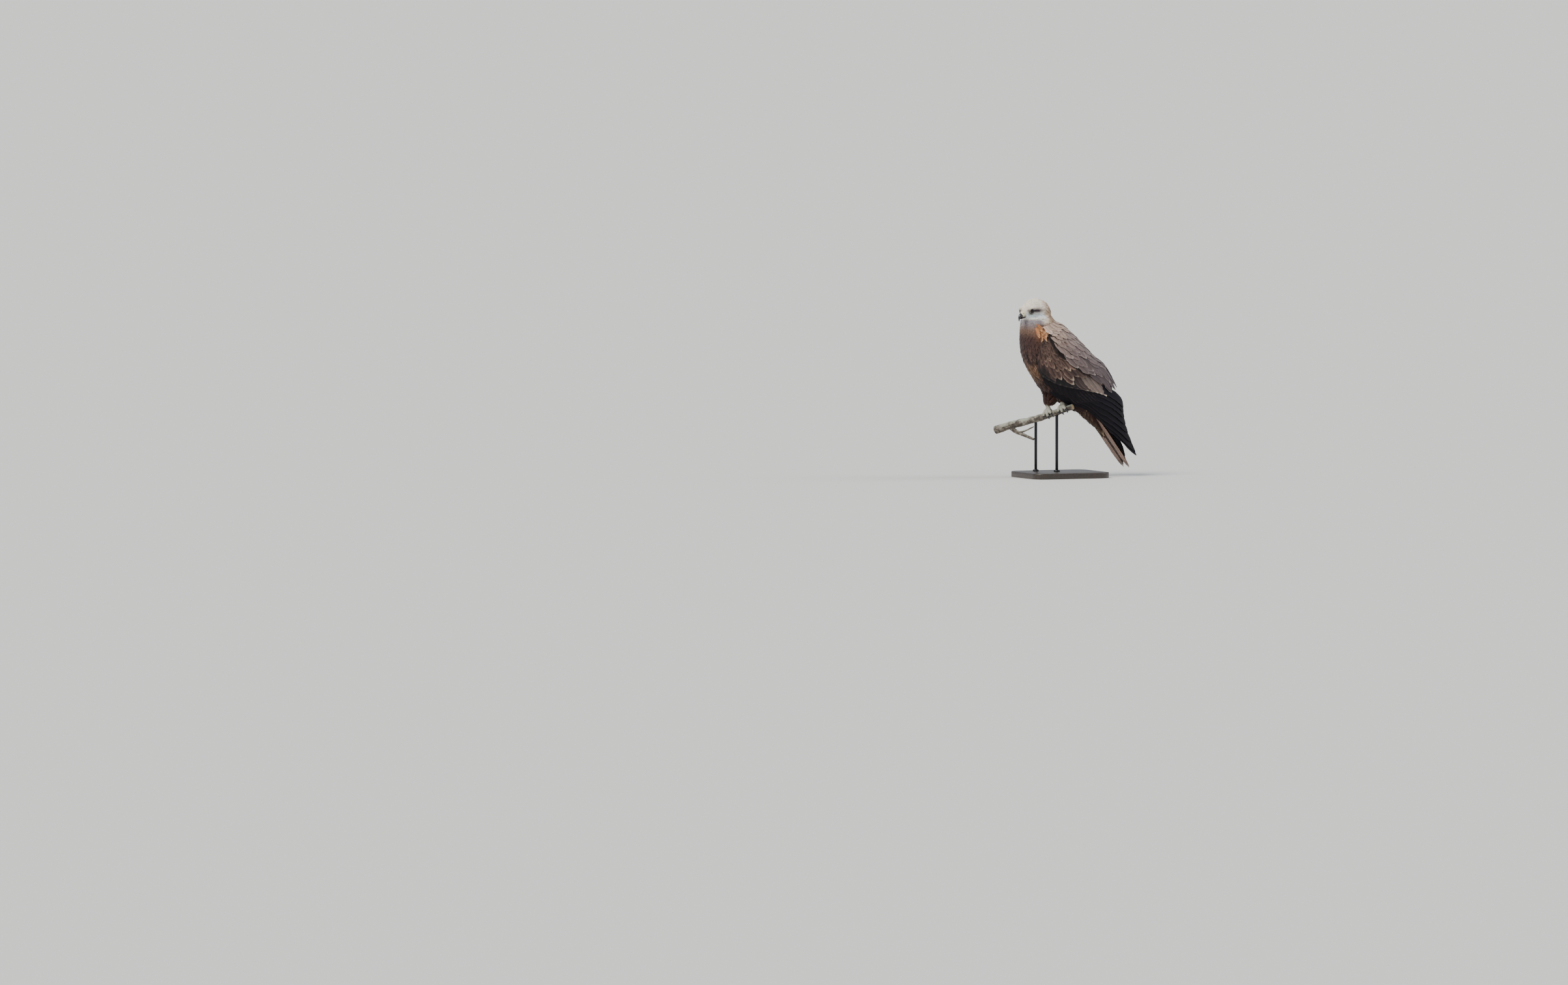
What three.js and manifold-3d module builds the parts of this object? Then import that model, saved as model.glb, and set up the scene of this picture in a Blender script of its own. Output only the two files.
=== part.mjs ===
// A perched kite, life size, gripping a short cut length of branch on a plain display stand.
// Millimetres, Z up. The bird faces -Y and its left side is +X. The origin is the middle of
// the underside of the base. The bird is modelled from a point on the branch between its feet.
import * as THREE from 'three';
import { mergeVertices } from 'three/addons/utils/BufferGeometryUtils.js';
import Module from 'manifold-3d';

const wasm = await Module();
wasm.setup();

// Driving dimensions
const GAP = 0.3;
const PERCH_HEIGHT = 185;
const FEET_BEHIND_BASE_MIDDLE = -12;
const HEAD_TURN = 26;
const EYE_RADIUS = 8.5;
const BRANCH_TURN = 38;
const BRANCH_RISE = 16;
const BRANCH_MIDDLE = new THREE.Vector3(0, 0, -4.8);
const BRANCH_RADIUS_AT_FEET = 9.2;
const BRANCH_TAPER = 0.014;
const FOOT_SPACING = 46;
const TAIL_LENGTH = 281;
const TAIL_SLOPE = 54;
const TAIL_ROOT = new THREE.Vector3(0, 54, 70);
const BASE_SIZE = { width: 200, depth: 230, thickness: 16, corner: 34 };
const ROD_RADIUS = 4;

// Small helpers for angles and mixing
const degrees = THREE.MathUtils.degToRad;
const mix = THREE.MathUtils.lerp;
const point = (x, y, z) => new THREE.Vector3(x, y, z);

// Solids from geometry

function geometryFrom(points, faces) {
  const geometry = new THREE.BufferGeometry();
  geometry.setAttribute('position', new THREE.Float32BufferAttribute(points.flatMap((p) => p.toArray()), 3));
  geometry.setIndex(faces);
  return geometry;
}

function solid(geometry) {
  const plain = geometry.clone();
  plain.deleteAttribute('normal');
  plain.deleteAttribute('uv');
  const merged = mergeVertices(plain, 1e-4);
  return new wasm.Manifold(new wasm.Mesh({
    numProp: 3,
    vertProperties: merged.attributes.position.array,
    triVerts: Uint32Array.from(merged.index.array),
  }));
}

function largest(body) {
  const pieces = body.decompose();
  return pieces.reduce((best, piece) => (piece.volume() > best.volume() ? piece : best));
}

function joined(bodies) {
  return largest(bodies.reduce((sum, body) => sum.add(body)));
}

function toGeometry(body) {
  const mesh = body.getMesh();
  const geometry = new THREE.BufferGeometry();
  geometry.setAttribute('position', new THREE.Float32BufferAttribute(mesh.vertProperties, 3));
  geometry.setIndex(Array.from(mesh.triVerts));
  return geometry;
}

// A closed body through rings of points, with a fan of faces over each end
function through(rings) {
  const count = rings[0].length;
  const points = rings.flat();
  const faces = [];
  for (let r = 0; r < rings.length - 1; r += 1) {
    for (let i = 0; i < count; i += 1) {
      const a = r * count + i;
      const b = r * count + ((i + 1) % count);
      faces.push(a, b, a + count, b, b + count, a + count);
    }
  }
  const middle = (ring) => ring.reduce((sum, p) => sum.add(p), point(0, 0, 0)).divideScalar(count);
  const first = points.push(middle(rings[0])) - 1;
  const last = points.push(middle(rings.at(-1))) - 1;
  const end = (rings.length - 1) * count;
  for (let i = 0; i < count; i += 1) {
    const next = (i + 1) % count;
    faces.push(first, next, i, last, end + i, end + next);
  }
  return outward(points, faces);
}

// Turns the faces round where they point into the body
function outward(points, faces) {
  let volume = 0;
  for (let i = 0; i < faces.length; i += 3) {
    const [a, b, c] = [points[faces[i]], points[faces[i + 1]], points[faces[i + 2]]];
    volume += a.dot(point(0, 0, 0).crossVectors(b, c));
  }
  if (volume < 0) faces.reverse();
  return geometryFrom(points, faces);
}

// A round tube or cone along a curve, given its half width and half height at each step
function limb(curve, sizes, sides = 10, up = point(0, 0, 1), grow = 0) {
  const path = new THREE.CatmullRomCurve3(curve);
  const steps = sizes.length - 1;
  const rings = sizes.map(([wide, high], i) => {
    const at = path.getPoint(i / steps);
    const along = path.getTangent(i / steps);
    const across = point(0, 0, 0).crossVectors(along, up).normalize();
    const top = point(0, 0, 0).crossVectors(across, along).normalize();
    return Array.from({ length: sides }, (_, k) => {
      const turn = (2 * Math.PI * k) / sides;
      return at.clone()
        .addScaledVector(across, (wide + grow) * Math.cos(turn))
        .addScaledVector(top, (high + grow) * Math.sin(turn));
    });
  });
  return through(rings);
}

function ellipsoid(centre, radii, turn = new THREE.Euler()) {
  const ball = new THREE.SphereGeometry(1, 10, 6);
  ball.scale(...radii);
  ball.rotateX(turn.x);
  ball.rotateY(turn.y);
  ball.rotateZ(turn.z);
  ball.translate(centre.x, centre.y, centre.z);
  return ball;
}

// A long rounded form that is alike left and right. Each section gives its centre, the slope
// of the form there below level, its half width, and its height to the back and to the belly.
class Form {
  constructor(sections) {
    const curve = (vectors) => new THREE.CatmullRomCurve3(vectors, false, 'catmullrom', 0.5);
    this.centres = curve(sections.map(([y, z, slope]) => point(slope, y, z)));
    this.sizes = curve(sections.map(([, , , width, back, belly]) => point(width, back, belly)));
  }

  section(s) {
    const centre = this.centres.getPoint(s);
    const slope = degrees(centre.x);
    const size = this.sizes.getPoint(s);
    return {
      centre: point(0, centre.y, centre.z),
      dorsal: point(0, Math.sin(slope), Math.cos(slope)),
      width: size.x,
      back: size.y,
      belly: size.z,
    };
  }

  // Angle 0 is the side, 90 the back and -90 the belly. Side is 1 on the left, -1 on the right.
  at(s, angle, lift = 0, side = 1) {
    const { centre, dorsal, width, back, belly } = this.section(s);
    const turn = degrees(angle);
    const height = Math.sin(turn) > 0 ? back : belly;
    return centre
      .add(point(side * (width + lift) * Math.cos(turn), 0, 0))
      .addScaledVector(dorsal, (height + lift) * Math.sin(turn));
  }

  // How far the surface runs for one degree of angle
  reach(s, angle) {
    const { width, back, belly } = this.section(s);
    const turn = degrees(angle);
    const height = Math.sin(turn) > 0 ? back : belly;
    return degrees(Math.hypot(width * Math.sin(turn), height * Math.cos(turn)));
  }

  body(from, to, rings, sides, grow = 0) {
    return through(Array.from({ length: rings }, (_, r) => {
      const s = mix(from, to, r / (rings - 1));
      return Array.from({ length: sides }, (__, k) => this.at(s, (360 * k) / sides, grow));
    }));
  }

  // A curved slab of the surface, alike on both faces, between two depths under it
  slab({ side, steps, rows, place, outer, inner }) {
    const top = [];
    const under = [];
    for (let i = 0; i <= steps; i += 1) {
      for (let j = 0; j <= rows; j += 1) {
        const { s, angle } = place(i / steps, j / rows);
        top.push(this.at(s, angle, outer(i / steps, j / rows), side));
        under.push(this.at(s, angle, inner(i / steps, j / rows), side));
      }
    }
    return plate(top, under, steps, rows);
  }
}

// A closed plate from two grids of points that are split into triangles alike
function plate(top, under, steps, rows) {
  const wide = rows + 1;
  const shift = top.length;
  const faces = [];
  const quad = (a, b, c, d) => faces.push(a, b, c, a, c, d);
  for (let i = 0; i < steps; i += 1) {
    for (let j = 0; j < rows; j += 1) {
      const a = i * wide + j;
      const [b, c, d] = [a + 1, a + wide + 1, a + wide];
      faces.push(a, b, c, a, c, d);
      faces.push(shift + a, shift + c, shift + b, shift + a, shift + d, shift + c);
    }
  }
  for (let j = 0; j < rows; j += 1) {
    const far = steps * wide + j;
    quad(j + 1, j, shift + j, shift + j + 1);
    quad(far, far + 1, shift + far + 1, shift + far);
  }
  for (let i = 0; i < steps; i += 1) {
    const near = i * wide;
    const edge = near + rows;
    quad(near, near + wide, shift + near + wide, shift + near);
    quad(edge + wide, edge, shift + edge, shift + edge + wide);
  }
  return outward([...top, ...under], faces);
}

// Outlines of a vane: how far along it, and how wide there as a share of its full width
const BLADE = [[0, 0.5], [0.38, 0.95], [0.8, 0.96], [0.95, 0.66], [1, 0.2]];
const SHORT = [[0, 0.6], [0.55, 1], [0.88, 0.8], [1, 0.24]];

// One feather lying along a form, from root to tip, with its far edge under its neighbour.
// Root and tip are places on the form: how far along, the angle round, and the lift off it.
function vane(form, { root, tip, width, thick, roll = 0, side = 1, outline = SHORT, columns = 1, bow = 0 }) {
  const top = [];
  const under = [];
  outline.forEach(([t, share]) => {
    const s = mix(root.s, tip.s, t);
    const angle = mix(root.angle, tip.angle, t) + bow * Math.sin(Math.PI * t);
    const lift = mix(root.lift, tip.lift, t);
    const half = (width * share) / 2 / form.reach(s, angle);
    for (let c = 0; c <= columns; c += 1) {
      const across = (2 * c) / columns - 1;
      const ridge = columns === 2 && c === 1 ? thick * 0.35 : 0;
      const height = lift - roll * across * share + ridge;
      top.push(form.at(s, angle + half * across, height, side));
      under.push(form.at(s, angle + half * across, height - thick - ridge * 0.5, side));
    }
  });
  return solid(plate(top, under, outline.length - 1, columns));
}

// Vanes set side by side in one tier, from the low place to the high place
function tier(form, count, low, high, shared) {
  return Array.from({ length: count }, (_, k) => {
    const t = count > 1 ? k / (count - 1) : 0;
    const between = (a, b) => ({
      s: mix(a.s, b.s, t), angle: mix(a.angle, b.angle, t), lift: mix(a.lift, b.lift, t),
    });
    return vane(form, {
      ...shared,
      root: between(low.root, high.root),
      tip: between(low.tip, high.tip),
      width: mix(low.width, high.width, t),
    });
  });
}

// The trunk under the wings, and the larger form that the folded wings and their tips follow
const trunk = new Form([
  [-66, 262, 82, 40, 42, 40],
  [-60, 240, 76, 48, 50, 49],
  [-46, 210, 66, 59, 58, 66],
  [-30, 178, 56, 61, 58, 79],
  [-14, 140, 50, 59, 54, 71],
  [6, 106, 47, 54, 48, 65],
  [34, 76, 47, 44, 40, 47],
  [62, 46, 50, 34, 28, 44],
  [84, 14, 53, 24, 16, 34],
  [98, -8, 54, 12, 8, 17],
]);
const cloak = new Form([
  [-58, 236, 72, 52, 52, 54],
  [-40, 206, 60, 66, 62, 70],
  [-16, 170, 55, 73, 72, 91],
  [12, 134, 50, 73, 78, 98],
  [42, 96, 47, 68, 84, 94],
  [74, 60, 46, 61, 92, 78],
  [104, 24, 50, 53, 84, 50],
  [130, -14, 53, 47, 76, 34],
  [152, -46, 54, 43, 58, 24],
  [178, -84, 54, 39, 45, 18],
  [216, -138, 54, 38, 34, 12],
]);

// Where the neck is parted from the trunk and from the head, as shares of the trunk's length
const NECK = { top: 0, bottom: 0.2, gap: 0.0016 };
const SIDES = 20;

// The folded wing's lower edge and the lower edge of the shoulder feathers, as angles
const curveOf = (pairs) => {
  const places = pairs.map(([s, angle]) => point(s, angle, 0));
  const path = new THREE.CatmullRomCurve3(places, false, 'catmullrom', 0.5);
  const knots = pairs.map(([s]) => s);
  return (s) => {
    const last = knots.length - 2;
    let k = knots.findIndex((knot) => s < knot) - 1;
    if (k < 0) k = s < knots[0] ? 0 : last;
    const share = (s - knots[k]) / (knots[k + 1] - knots[k]);
    return path.getPoint((k + THREE.MathUtils.clamp(share, 0, 1)) / (knots.length - 1)).y;
  };
};
const wingLow = curveOf([
  [0.02, -6], [0.1, -34], [0.2, -52], [0.3, -58], [0.4, -58], [0.5, -54], [0.6, -42], [0.7, -20],
]);
const wingHigh = curveOf([[0.02, 22], [0.1, 12], [0.2, 4], [0.3, 10], [0.4, 16], [0.55, 30], [0.7, 50]]);

// Where the arm of the wing ends and its long feathers begin, from the low edge to the high one
const armEnd = (v) => mix(0.2, 0.53, v ** 0.8);
const ARM_START = 0.035;

// A place on the wing, its share across counted from the low edge to the shoulder feathers
function wingPlace(s, v) {
  return { s, angle: mix(wingLow(s), wingHigh(s) - 0.3, v) };
}

function torsoBody(grow = 0) {
  return solid(trunk.body(NECK.bottom + NECK.gap - grow * 0.002, 1, 13, SIDES, grow));
}

// Torso and neck

function torso() {
  return torsoBody();
}

function neck(headGrown) {
  return largest(solid(trunk.body(NECK.top, NECK.bottom, 5, SIDES)).subtract(headGrown));
}

// Head: the skull with its face feathers, in its own frame. The point between the eyes is the
// origin, the face looks along -Y and the head's left is +X.
const SKULL = [
  [-17, 7.4, -1, -17],
  [-13, 13, 6, -20.5],
  [-7, 18.5, 14.5, -25],
  [0, 23, 23, -28.5],
  [10, 28, 30.5, -32],
  [22, 32, 34.5, -35],
  [35, 34.5, 35, -38],
  [48, 35, 32, -42],
  [62, 32, 26, -44],
  [74, 24, 15, -40],
  [81, 10, 0, -28],
];
const HEAD_PLACE = point(12.3, -94.4, 278.4);

function placeHead(geometry) {
  geometry.rotateZ(degrees(HEAD_TURN));
  geometry.translate(HEAD_PLACE.x, HEAD_PLACE.y, HEAD_PLACE.z);
  return geometry;
}

function skullBody(grow = 0) {
  const rings = SKULL.map(([y, half, top, bottom], i) => {
    const end = i === 0 ? -grow : 0;
    const far = i === SKULL.length - 1 ? grow : 0;
    return Array.from({ length: SIDES }, (_, k) => {
      const turn = (2 * Math.PI * k) / SIDES;
      return point(
        (half + grow) * Math.cos(turn),
        y + end + far,
        (top + bottom) / 2 + ((top - bottom) / 2 + grow) * Math.sin(turn),
      );
    });
  });
  return solid(placeHead(through(rings)));
}

const EYE_CENTRE = point(15.2, -1.6, 0);
const EYE_LOOK = point(0.93, -0.36, 0.04).normalize();

function eyeBall(side, grow = 0) {
  const ball = new THREE.SphereGeometry(EYE_RADIUS + grow, 12, 8);
  ball.rotateZ(Math.PI / 2);
  ball.translate(side * EYE_CENTRE.x, EYE_CENTRE.y, EYE_CENTRE.z);
  return solid(placeHead(ball));
}

// The thick rim of the lids round the eye, and the brow that overhangs it
function lids(side) {
  const ring = new THREE.TorusGeometry(6.5, 1.5, 5, 12);
  const facing = point(side * EYE_LOOK.x, EYE_LOOK.y, EYE_LOOK.z);
  ring.applyQuaternion(new THREE.Quaternion().setFromUnitVectors(point(0, 0, 1), facing));
  const rim = point(side * EYE_CENTRE.x, EYE_CENTRE.y, EYE_CENTRE.z).addScaledVector(facing, 5.6);
  ring.translate(rim.x, rim.y, rim.z);
  const browTurn = new THREE.Euler(degrees(14), 0, side * degrees(-22));
  const brow = ellipsoid(point(side * 19, -4, 8.4), [4.4, 12.5, 2.9], browTurn);
  return [solid(placeHead(ring)), solid(placeHead(brow))];
}

// The bill bends down to its hook. The cere is the soft skin over its base.
const BILL_LINE = [
  point(0, -17.4, -8.6), point(0, -24.5, -11), point(0, -29.6, -14), point(0, -32.8, -18.4),
  point(0, -34.4, -22.6), point(0, -34.6, -27.4),
];
const BILL_SIZES = [[6.8, 7.8], [6.2, 6.8], [5, 5.3], [3.5, 3.8], [2, 2.2], [0.5, 0.5]];
const JAW_LINE = [point(0, -17.4, -17.2), point(0, -23.5, -19.4), point(0, -29.4, -21.2)];
const JAW_SIZES = [[5.9, 3], [4.9, 2.6], [2.6, 1]];
const CERE_MIDDLE = point(0, -18, -3);
const CERE_REACH = 10.4;

function upperBill(grow = 0) {
  return solid(placeHead(limb(BILL_LINE, BILL_SIZES, 12, point(0, 0, 1), grow)));
}

function cereRegion(grow = 0) {
  return solid(placeHead(ellipsoid(CERE_MIDDLE, [12 + grow, CERE_REACH + grow, 8.6 + grow])));
}

function cere() {
  const nostrilTurn = new THREE.Euler(degrees(30), 0, 0);
  const nostrils = [1, -1].map((side) => (
    solid(placeHead(ellipsoid(point(side * 6, -22.4, -7.2), [1.6, 1.5, 0.9], nostrilTurn)))
  ));
  const skin = upperBill(0.35).intersect(cereRegion());
  return largest(nostrils.reduce((body, hole) => body.subtract(hole), skin));
}

function billUpper() {
  return largest(upperBill().subtract(cereRegion(GAP)));
}

function billLower() {
  const jaw = solid(placeHead(limb(JAW_LINE, JAW_SIZES, 10)));
  return largest(jaw.subtract(upperBill(GAP + 0.05)).subtract(cereRegion(GAP)));
}

function head() {
  const parts = [skullBody(), ...lids(1), ...lids(-1)];
  const mouth = new THREE.BoxGeometry(60, 16, 0.7);
  mouth.rotateX(degrees(10));
  mouth.translate(0, -11, -17.2);
  return largest(
    joined(parts)
      .subtract(eyeBall(1, GAP))
      .subtract(eyeBall(-1, GAP))
      .subtract(solid(placeHead(mouth)))
      .subtract(upperBill(0.65)),
  );
}

// Wings

const ARM_ROWS = 6;
const ARM_STEPS = 6;

function armBody(side, grow = 0) {
  const rim = (v) => Math.min(1, 4 * v + 0.25, 5 * (1 - v) + 0.4);
  const spare = grow / 460;
  return solid(cloak.slab({
    side, steps: ARM_STEPS, rows: ARM_ROWS,
    place: (u, v) => {
      const { s, angle } = wingPlace(mix(ARM_START + 0.02 * (1 - v), armEnd(v) + spare, u), v);
      return { s, angle: angle + grow * (v - 0.5) };
    },
    outer: (u, v) => grow - 2.4 * (1 - Math.min(1, 5 * u)) * (1 - v) - 1.2 * (1 - rim(v)),
    inner: (u, v) => -22 * rim(v),
  }));
}

// The coverts lie in tiers over the arm: lesser, middle and greater, with the greater ones
// reaching out over the roots of the long feathers
function coverts(side, torsoGrown, neckGrown) {
  const shared = { thick: 0.9, roll: -1.2, side };
  const greater = tier(
    cloak, 8,
    { root: { s: 0.17, angle: -48, lift: 0.4 }, tip: { s: 0.27, angle: -52, lift: 1.9 }, width: 24 },
    { root: { s: 0.47, angle: 12, lift: 0.4 }, tip: { s: 0.6, angle: 20, lift: 2 }, width: 23 },
    shared,
  );
  const middle = tier(
    cloak, 6,
    { root: { s: 0.11, angle: -34, lift: -0.4 }, tip: { s: 0.215, angle: -40, lift: 2.6 }, width: 23 },
    { root: { s: 0.34, angle: 2, lift: -0.4 }, tip: { s: 0.46, angle: 9, lift: 2.6 }, width: 22 },
    shared,
  );
  const lesser = tier(
    cloak, 3,
    { root: { s: 0.07, angle: -21, lift: -0.4 }, tip: { s: 0.155, angle: -28, lift: 2.2 }, width: 22 },
    { root: { s: 0.22, angle: -6, lift: -0.4 }, tip: { s: 0.32, angle: 0, lift: 2.4 }, width: 22 },
    shared,
  );
  const whole = joined([armBody(side), ...greater, ...middle, ...lesser]);
  return largest(whole.subtract(torsoGrown).subtract(neckGrown));
}

const SPLIT = 0.5;
const STRIP_TOP = -2.1;

// A strip behind the arm in which the long feathers are rooted
function rootStrip(side, from, to, inner) {
  return solid(cloak.slab({
    side, steps: 2, rows: ARM_ROWS * SPLIT,
    place: (u, v) => {
      const across = mix(from, to, v);
      return wingPlace(armEnd(across) - 0.012 + 0.047 * u, across);
    },
    outer: () => STRIP_TOP,
    inner: () => inner,
  }));
}

function secondaries(side, armGrown) {
  const shared = { thick: 0.8, roll: 1.8, side, outline: BLADE };
  const feathers = tier(
    cloak, 8,
    { root: { s: 0.41, angle: -24, lift: -3.2 }, tip: { s: 0.58, angle: -26, lift: -3.2 }, width: 19 },
    { root: { s: 0.545, angle: 24, lift: -3.2 }, tip: { s: 0.71, angle: 52, lift: -3.2 }, width: 20 },
    shared,
  );
  return largest(joined([rootStrip(side, SPLIT + 0.02, 1, -4.5), ...feathers]).subtract(armGrown));
}

// The outer primaries pass under the secondaries to the wing tip. They turn at the same places
// along the form, so that each lies clear under the next.
const TIP = { left: 39, right: 27 };
const PRIMARY_REACH = [0.87, 0.96, 1, 0.975, 0.9];
const PRIMARY_TURNS = [0.42, 0.56, 0.7, 0.82];
const PRIMARY_STEP = 1.5;

function primary(side, k) {
  const tipAngle = (side > 0 ? TIP.left : TIP.right) - 15 + 6.5 * k;
  const across = 0.06 + 0.1 * k;
  const root = wingPlace(armEnd(across) + 0.015, across);
  const reach = PRIMARY_REACH[k];
  const share = (s) => (s - root.s) / (reach - root.s);
  const turns = PRIMARY_TURNS.map((s) => [share(s), mix(0.6, 0.98, Math.min(1, 1.8 * share(s)))]);
  const lift = -13 + PRIMARY_STEP * k;
  return vane(cloak, {
    root: { ...root, lift }, tip: { s: reach, angle: tipAngle, lift },
    width: 28, thick: 0.7, side, columns: 2, bow: -9 + 2 * k,
    outline: [[0, 0.5], ...turns, [0.97, 0.7], [1, 0.24]],
  });
}

function primaries(side, torsoGrown, armGrown) {
  const long = [0, 1, 2, 3, 4].map((k) => primary(side, k));
  const handRoot = (across) => ({ ...wingPlace(armEnd(across) + 0.012, across), lift: -2.6 });
  const hand = tier(
    cloak, 4,
    { root: handRoot(0.04), tip: { s: 0.345, angle: -54, lift: -2.9 }, width: 14 },
    { root: handRoot(0.36), tip: { s: 0.44, angle: -38, lift: -2.9 }, width: 16 },
    { thick: 0.9, roll: -0.6, side },
  );
  const all = [rootStrip(side, 0, SPLIT - 0.02, -12), ...long, ...hand];
  return largest(joined(all).subtract(torsoGrown).subtract(armGrown));
}

// The shoulder feathers lie over the top of the wing and the back in four rows
function scapulars(side, torsoGrown, neckGrown) {
  const core = solid(cloak.slab({
    side, steps: ARM_STEPS, rows: 4,
    place: (u, v) => {
      const s = mix(ARM_START, armEnd(1), u);
      return { s, angle: mix(wingHigh(s) + 0.3, 88.5, v) };
    },
    outer: (u) => 2.6 * Math.min(1, 3 * u, 4 * (1 - u) + 0.3),
    inner: (u) => -18 * Math.min(1, 0.4 + 3 * (1 - u)) + 8 * u,
  }));
  const rows = [
    { s: 0.1, reach: 0.12, low: 22, high: 74.5, count: 3, lift: 5.8 },
    { s: 0.22, reach: 0.13, low: 14, high: 74.5, count: 4, lift: 5.8 },
    { s: 0.34, reach: 0.14, low: 24, high: 74.5, count: 4, lift: 5.6 },
    { s: 0.46, reach: 0.17, low: 38, high: 74.5, count: 3, lift: 4 },
  ];
  const feathers = rows.flatMap((row) => {
    const placed = (rootAngle, tipAngle, width) => ({
      root: { s: row.s, angle: rootAngle, lift: 1.8 },
      tip: { s: row.s + row.reach, angle: tipAngle, lift: row.lift },
      width,
    });
    const low = placed(row.low, row.low + 2, 26);
    const high = placed(row.high, row.high, 29);
    return tier(cloak, row.count, low, high, { thick: 1, roll: 1.5, side });
  });
  return largest(joined([core, ...feathers]).subtract(torsoGrown).subtract(neckGrown));
}

// Tail: twelve feathers in a closed fan with a shallow fork, on a block at their roots

function tailPoint(x, along, height) {
  const slope = degrees(TAIL_SLOPE);
  return TAIL_ROOT.clone()
    .add(point(x, Math.cos(slope) * along, -Math.sin(slope) * along))
    .add(point(0, Math.sin(slope) * height, Math.cos(slope) * height));
}

const TAIL_LEVEL = 1.1;
const TAIL_THICK = 0.7;

function tailFeather(pair, side) {
  const share = (pair - 1) / 5;
  const rootX = side * (1.5 + 1.6 * pair);
  const tipX = side * (3 + 16 * share);
  const length = TAIL_LENGTH - 22 * (1 - share ** 1.6);
  const level = -(2 * (pair - 1) + (side > 0 ? 1 : 0)) * TAIL_LEVEL + 5;
  const top = [];
  const under = [];
  BLADE.forEach(([t, wide]) => {
    const x = mix(rootX, tipX, t) + side * 7 * share * Math.sin(Math.PI * t);
    const half = 15.5 * wide;
    [-1, 1].forEach((edge) => {
      const along = mix(28, length, t) - (t === 1 ? edge * side * -3 : 0);
      top.push(tailPoint(x + edge * half, along, level));
      under.push(tailPoint(x + edge * half, along, level - TAIL_THICK));
    });
  });
  return solid(plate(top, under, BLADE.length - 1, 1));
}

function tail(torsoGrown) {
  const rootBlock = solid(limb(
    [tailPoint(0, 34, -1), tailPoint(0, 52, -1), tailPoint(0, 74, -1)],
    [[15, 10], [18, 9.6], [19, 8.4]], 14, point(0, 0.8, 0.6),
  ));
  const feathers = [1, 2, 3, 4, 5, 6].flatMap((pair) => [tailFeather(pair, 1), tailFeather(pair, -1)]);
  return largest(joined([rootBlock, ...feathers]).subtract(torsoGrown));
}

// The soft feathers under the root of the tail, in two tiers on a core that thins to nothing
const UNDERTAIL_TOP = -8.3;

function undertailVane(x, width, from, to) {
  const top = [];
  const under = [];
  SHORT.forEach(([t, share]) => {
    const height = mix(from.height, to.height, t);
    [-1, 1].forEach((edge) => {
      const across = x * mix(0.9, 1.15, t) + (edge * width * share) / 2;
      top.push(tailPoint(across, mix(from.along, to.along, t), height - 0.6 * edge));
      under.push(tailPoint(across, mix(from.along, to.along, t), height - 0.6 * edge - 0.9));
    });
  });
  return solid(plate(top, under, SHORT.length - 1, 1));
}

function undertail(torsoGrown) {
  const depths = [[72, 24, 22], [88, 22, 20], [104, 20, 15], [122, 17, 9], [140, 13, 2.5]];
  const columns = 4;
  const grid = (height) => depths.flatMap(([along, half, depth]) => (
    Array.from({ length: columns + 1 }, (_, c) => {
      const across = (2 * c) / columns - 1;
      return tailPoint(across * half, along, height(across, depth));
    })
  ));
  const core = solid(plate(
    grid(() => UNDERTAIL_TOP),
    grid((across, depth) => UNDERTAIL_TOP - 0.8 - depth * Math.sqrt(1 - 0.9 * across * across)),
    depths.length - 1, columns,
  ));
  const near = [-11, 0, 11].map((x, k) => {
    const drop = Math.abs(x) / 3;
    const tip = { along: 124 - (k % 2) * 5, height: drop - 21.5 };
    return undertailVane(x, 14, { along: 84, height: drop - 25 }, tip);
  });
  const far = [-11, -4, 4, 11].map((x, k) => (
    undertailVane(x, 11, { along: 112, height: -14.5 }, { along: 161 - (k % 2) * 6, height: -10.4 })
  ));
  return largest(joined([core, ...near, ...far]).subtract(torsoGrown));
}

// Thighs and feet

const BRANCH_ALONG = point(
  Math.cos(degrees(BRANCH_TURN)) * Math.cos(degrees(BRANCH_RISE)),
  Math.sin(degrees(BRANCH_TURN)) * Math.cos(degrees(BRANCH_RISE)),
  Math.sin(degrees(BRANCH_RISE)),
);
const BRANCH_ACROSS = point(Math.sin(degrees(BRANCH_TURN)), -Math.cos(degrees(BRANCH_TURN)), 0);
const BRANCH_TOP = point(0, 0, 0).crossVectors(BRANCH_ACROSS, BRANCH_ALONG).normalize();
const branchRadius = (along) => BRANCH_RADIUS_AT_FEET - BRANCH_TAPER * along;

// A place round the branch: angle 0 is its top, 90 its front
function onBranch(along, angle, distance) {
  const turn = degrees(angle);
  return BRANCH_MIDDLE.clone()
    .addScaledVector(BRANCH_ALONG, along)
    .addScaledVector(BRANCH_TOP, distance * Math.cos(turn))
    .addScaledVector(BRANCH_ACROSS, distance * Math.sin(turn));
}

const footAt = (side) => 2 + (side * FOOT_SPACING) / 2;
const TOE_HALF = 3.8;
const TOE_OUT = TOE_HALF + GAP + 0.9;
const TOES = [
  { spread: -12, from: 12, to: 96, back: false },
  { spread: 0, from: 14, to: 112, back: false },
  { spread: 12, from: 12, to: 92, back: false },
  { spread: 2, from: -14, to: -88, back: true },
];

function toePath(side, toe, from, to, distance, steps) {
  return Array.from({ length: steps + 1 }, (_, i) => {
    const t = i / steps;
    const angle = mix(from, to, t);
    const share = (angle - toe.from) / (toe.to - toe.from);
    return onBranch(footAt(side) + toe.spread * (0.35 + 0.65 * share), angle, distance(t));
  });
}

function footPad(side, grow = 0) {
  const heights = [2.5, 9, 15 + grow].map((h) => onBranch(footAt(side), 0, branchRadius(footAt(side)) + h));
  return solid(limb(heights, [[7.5, 7.5], [6.6, 6.6], [5.2, 5.2]], 10, point(1, 0, 0), grow));
}

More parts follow.
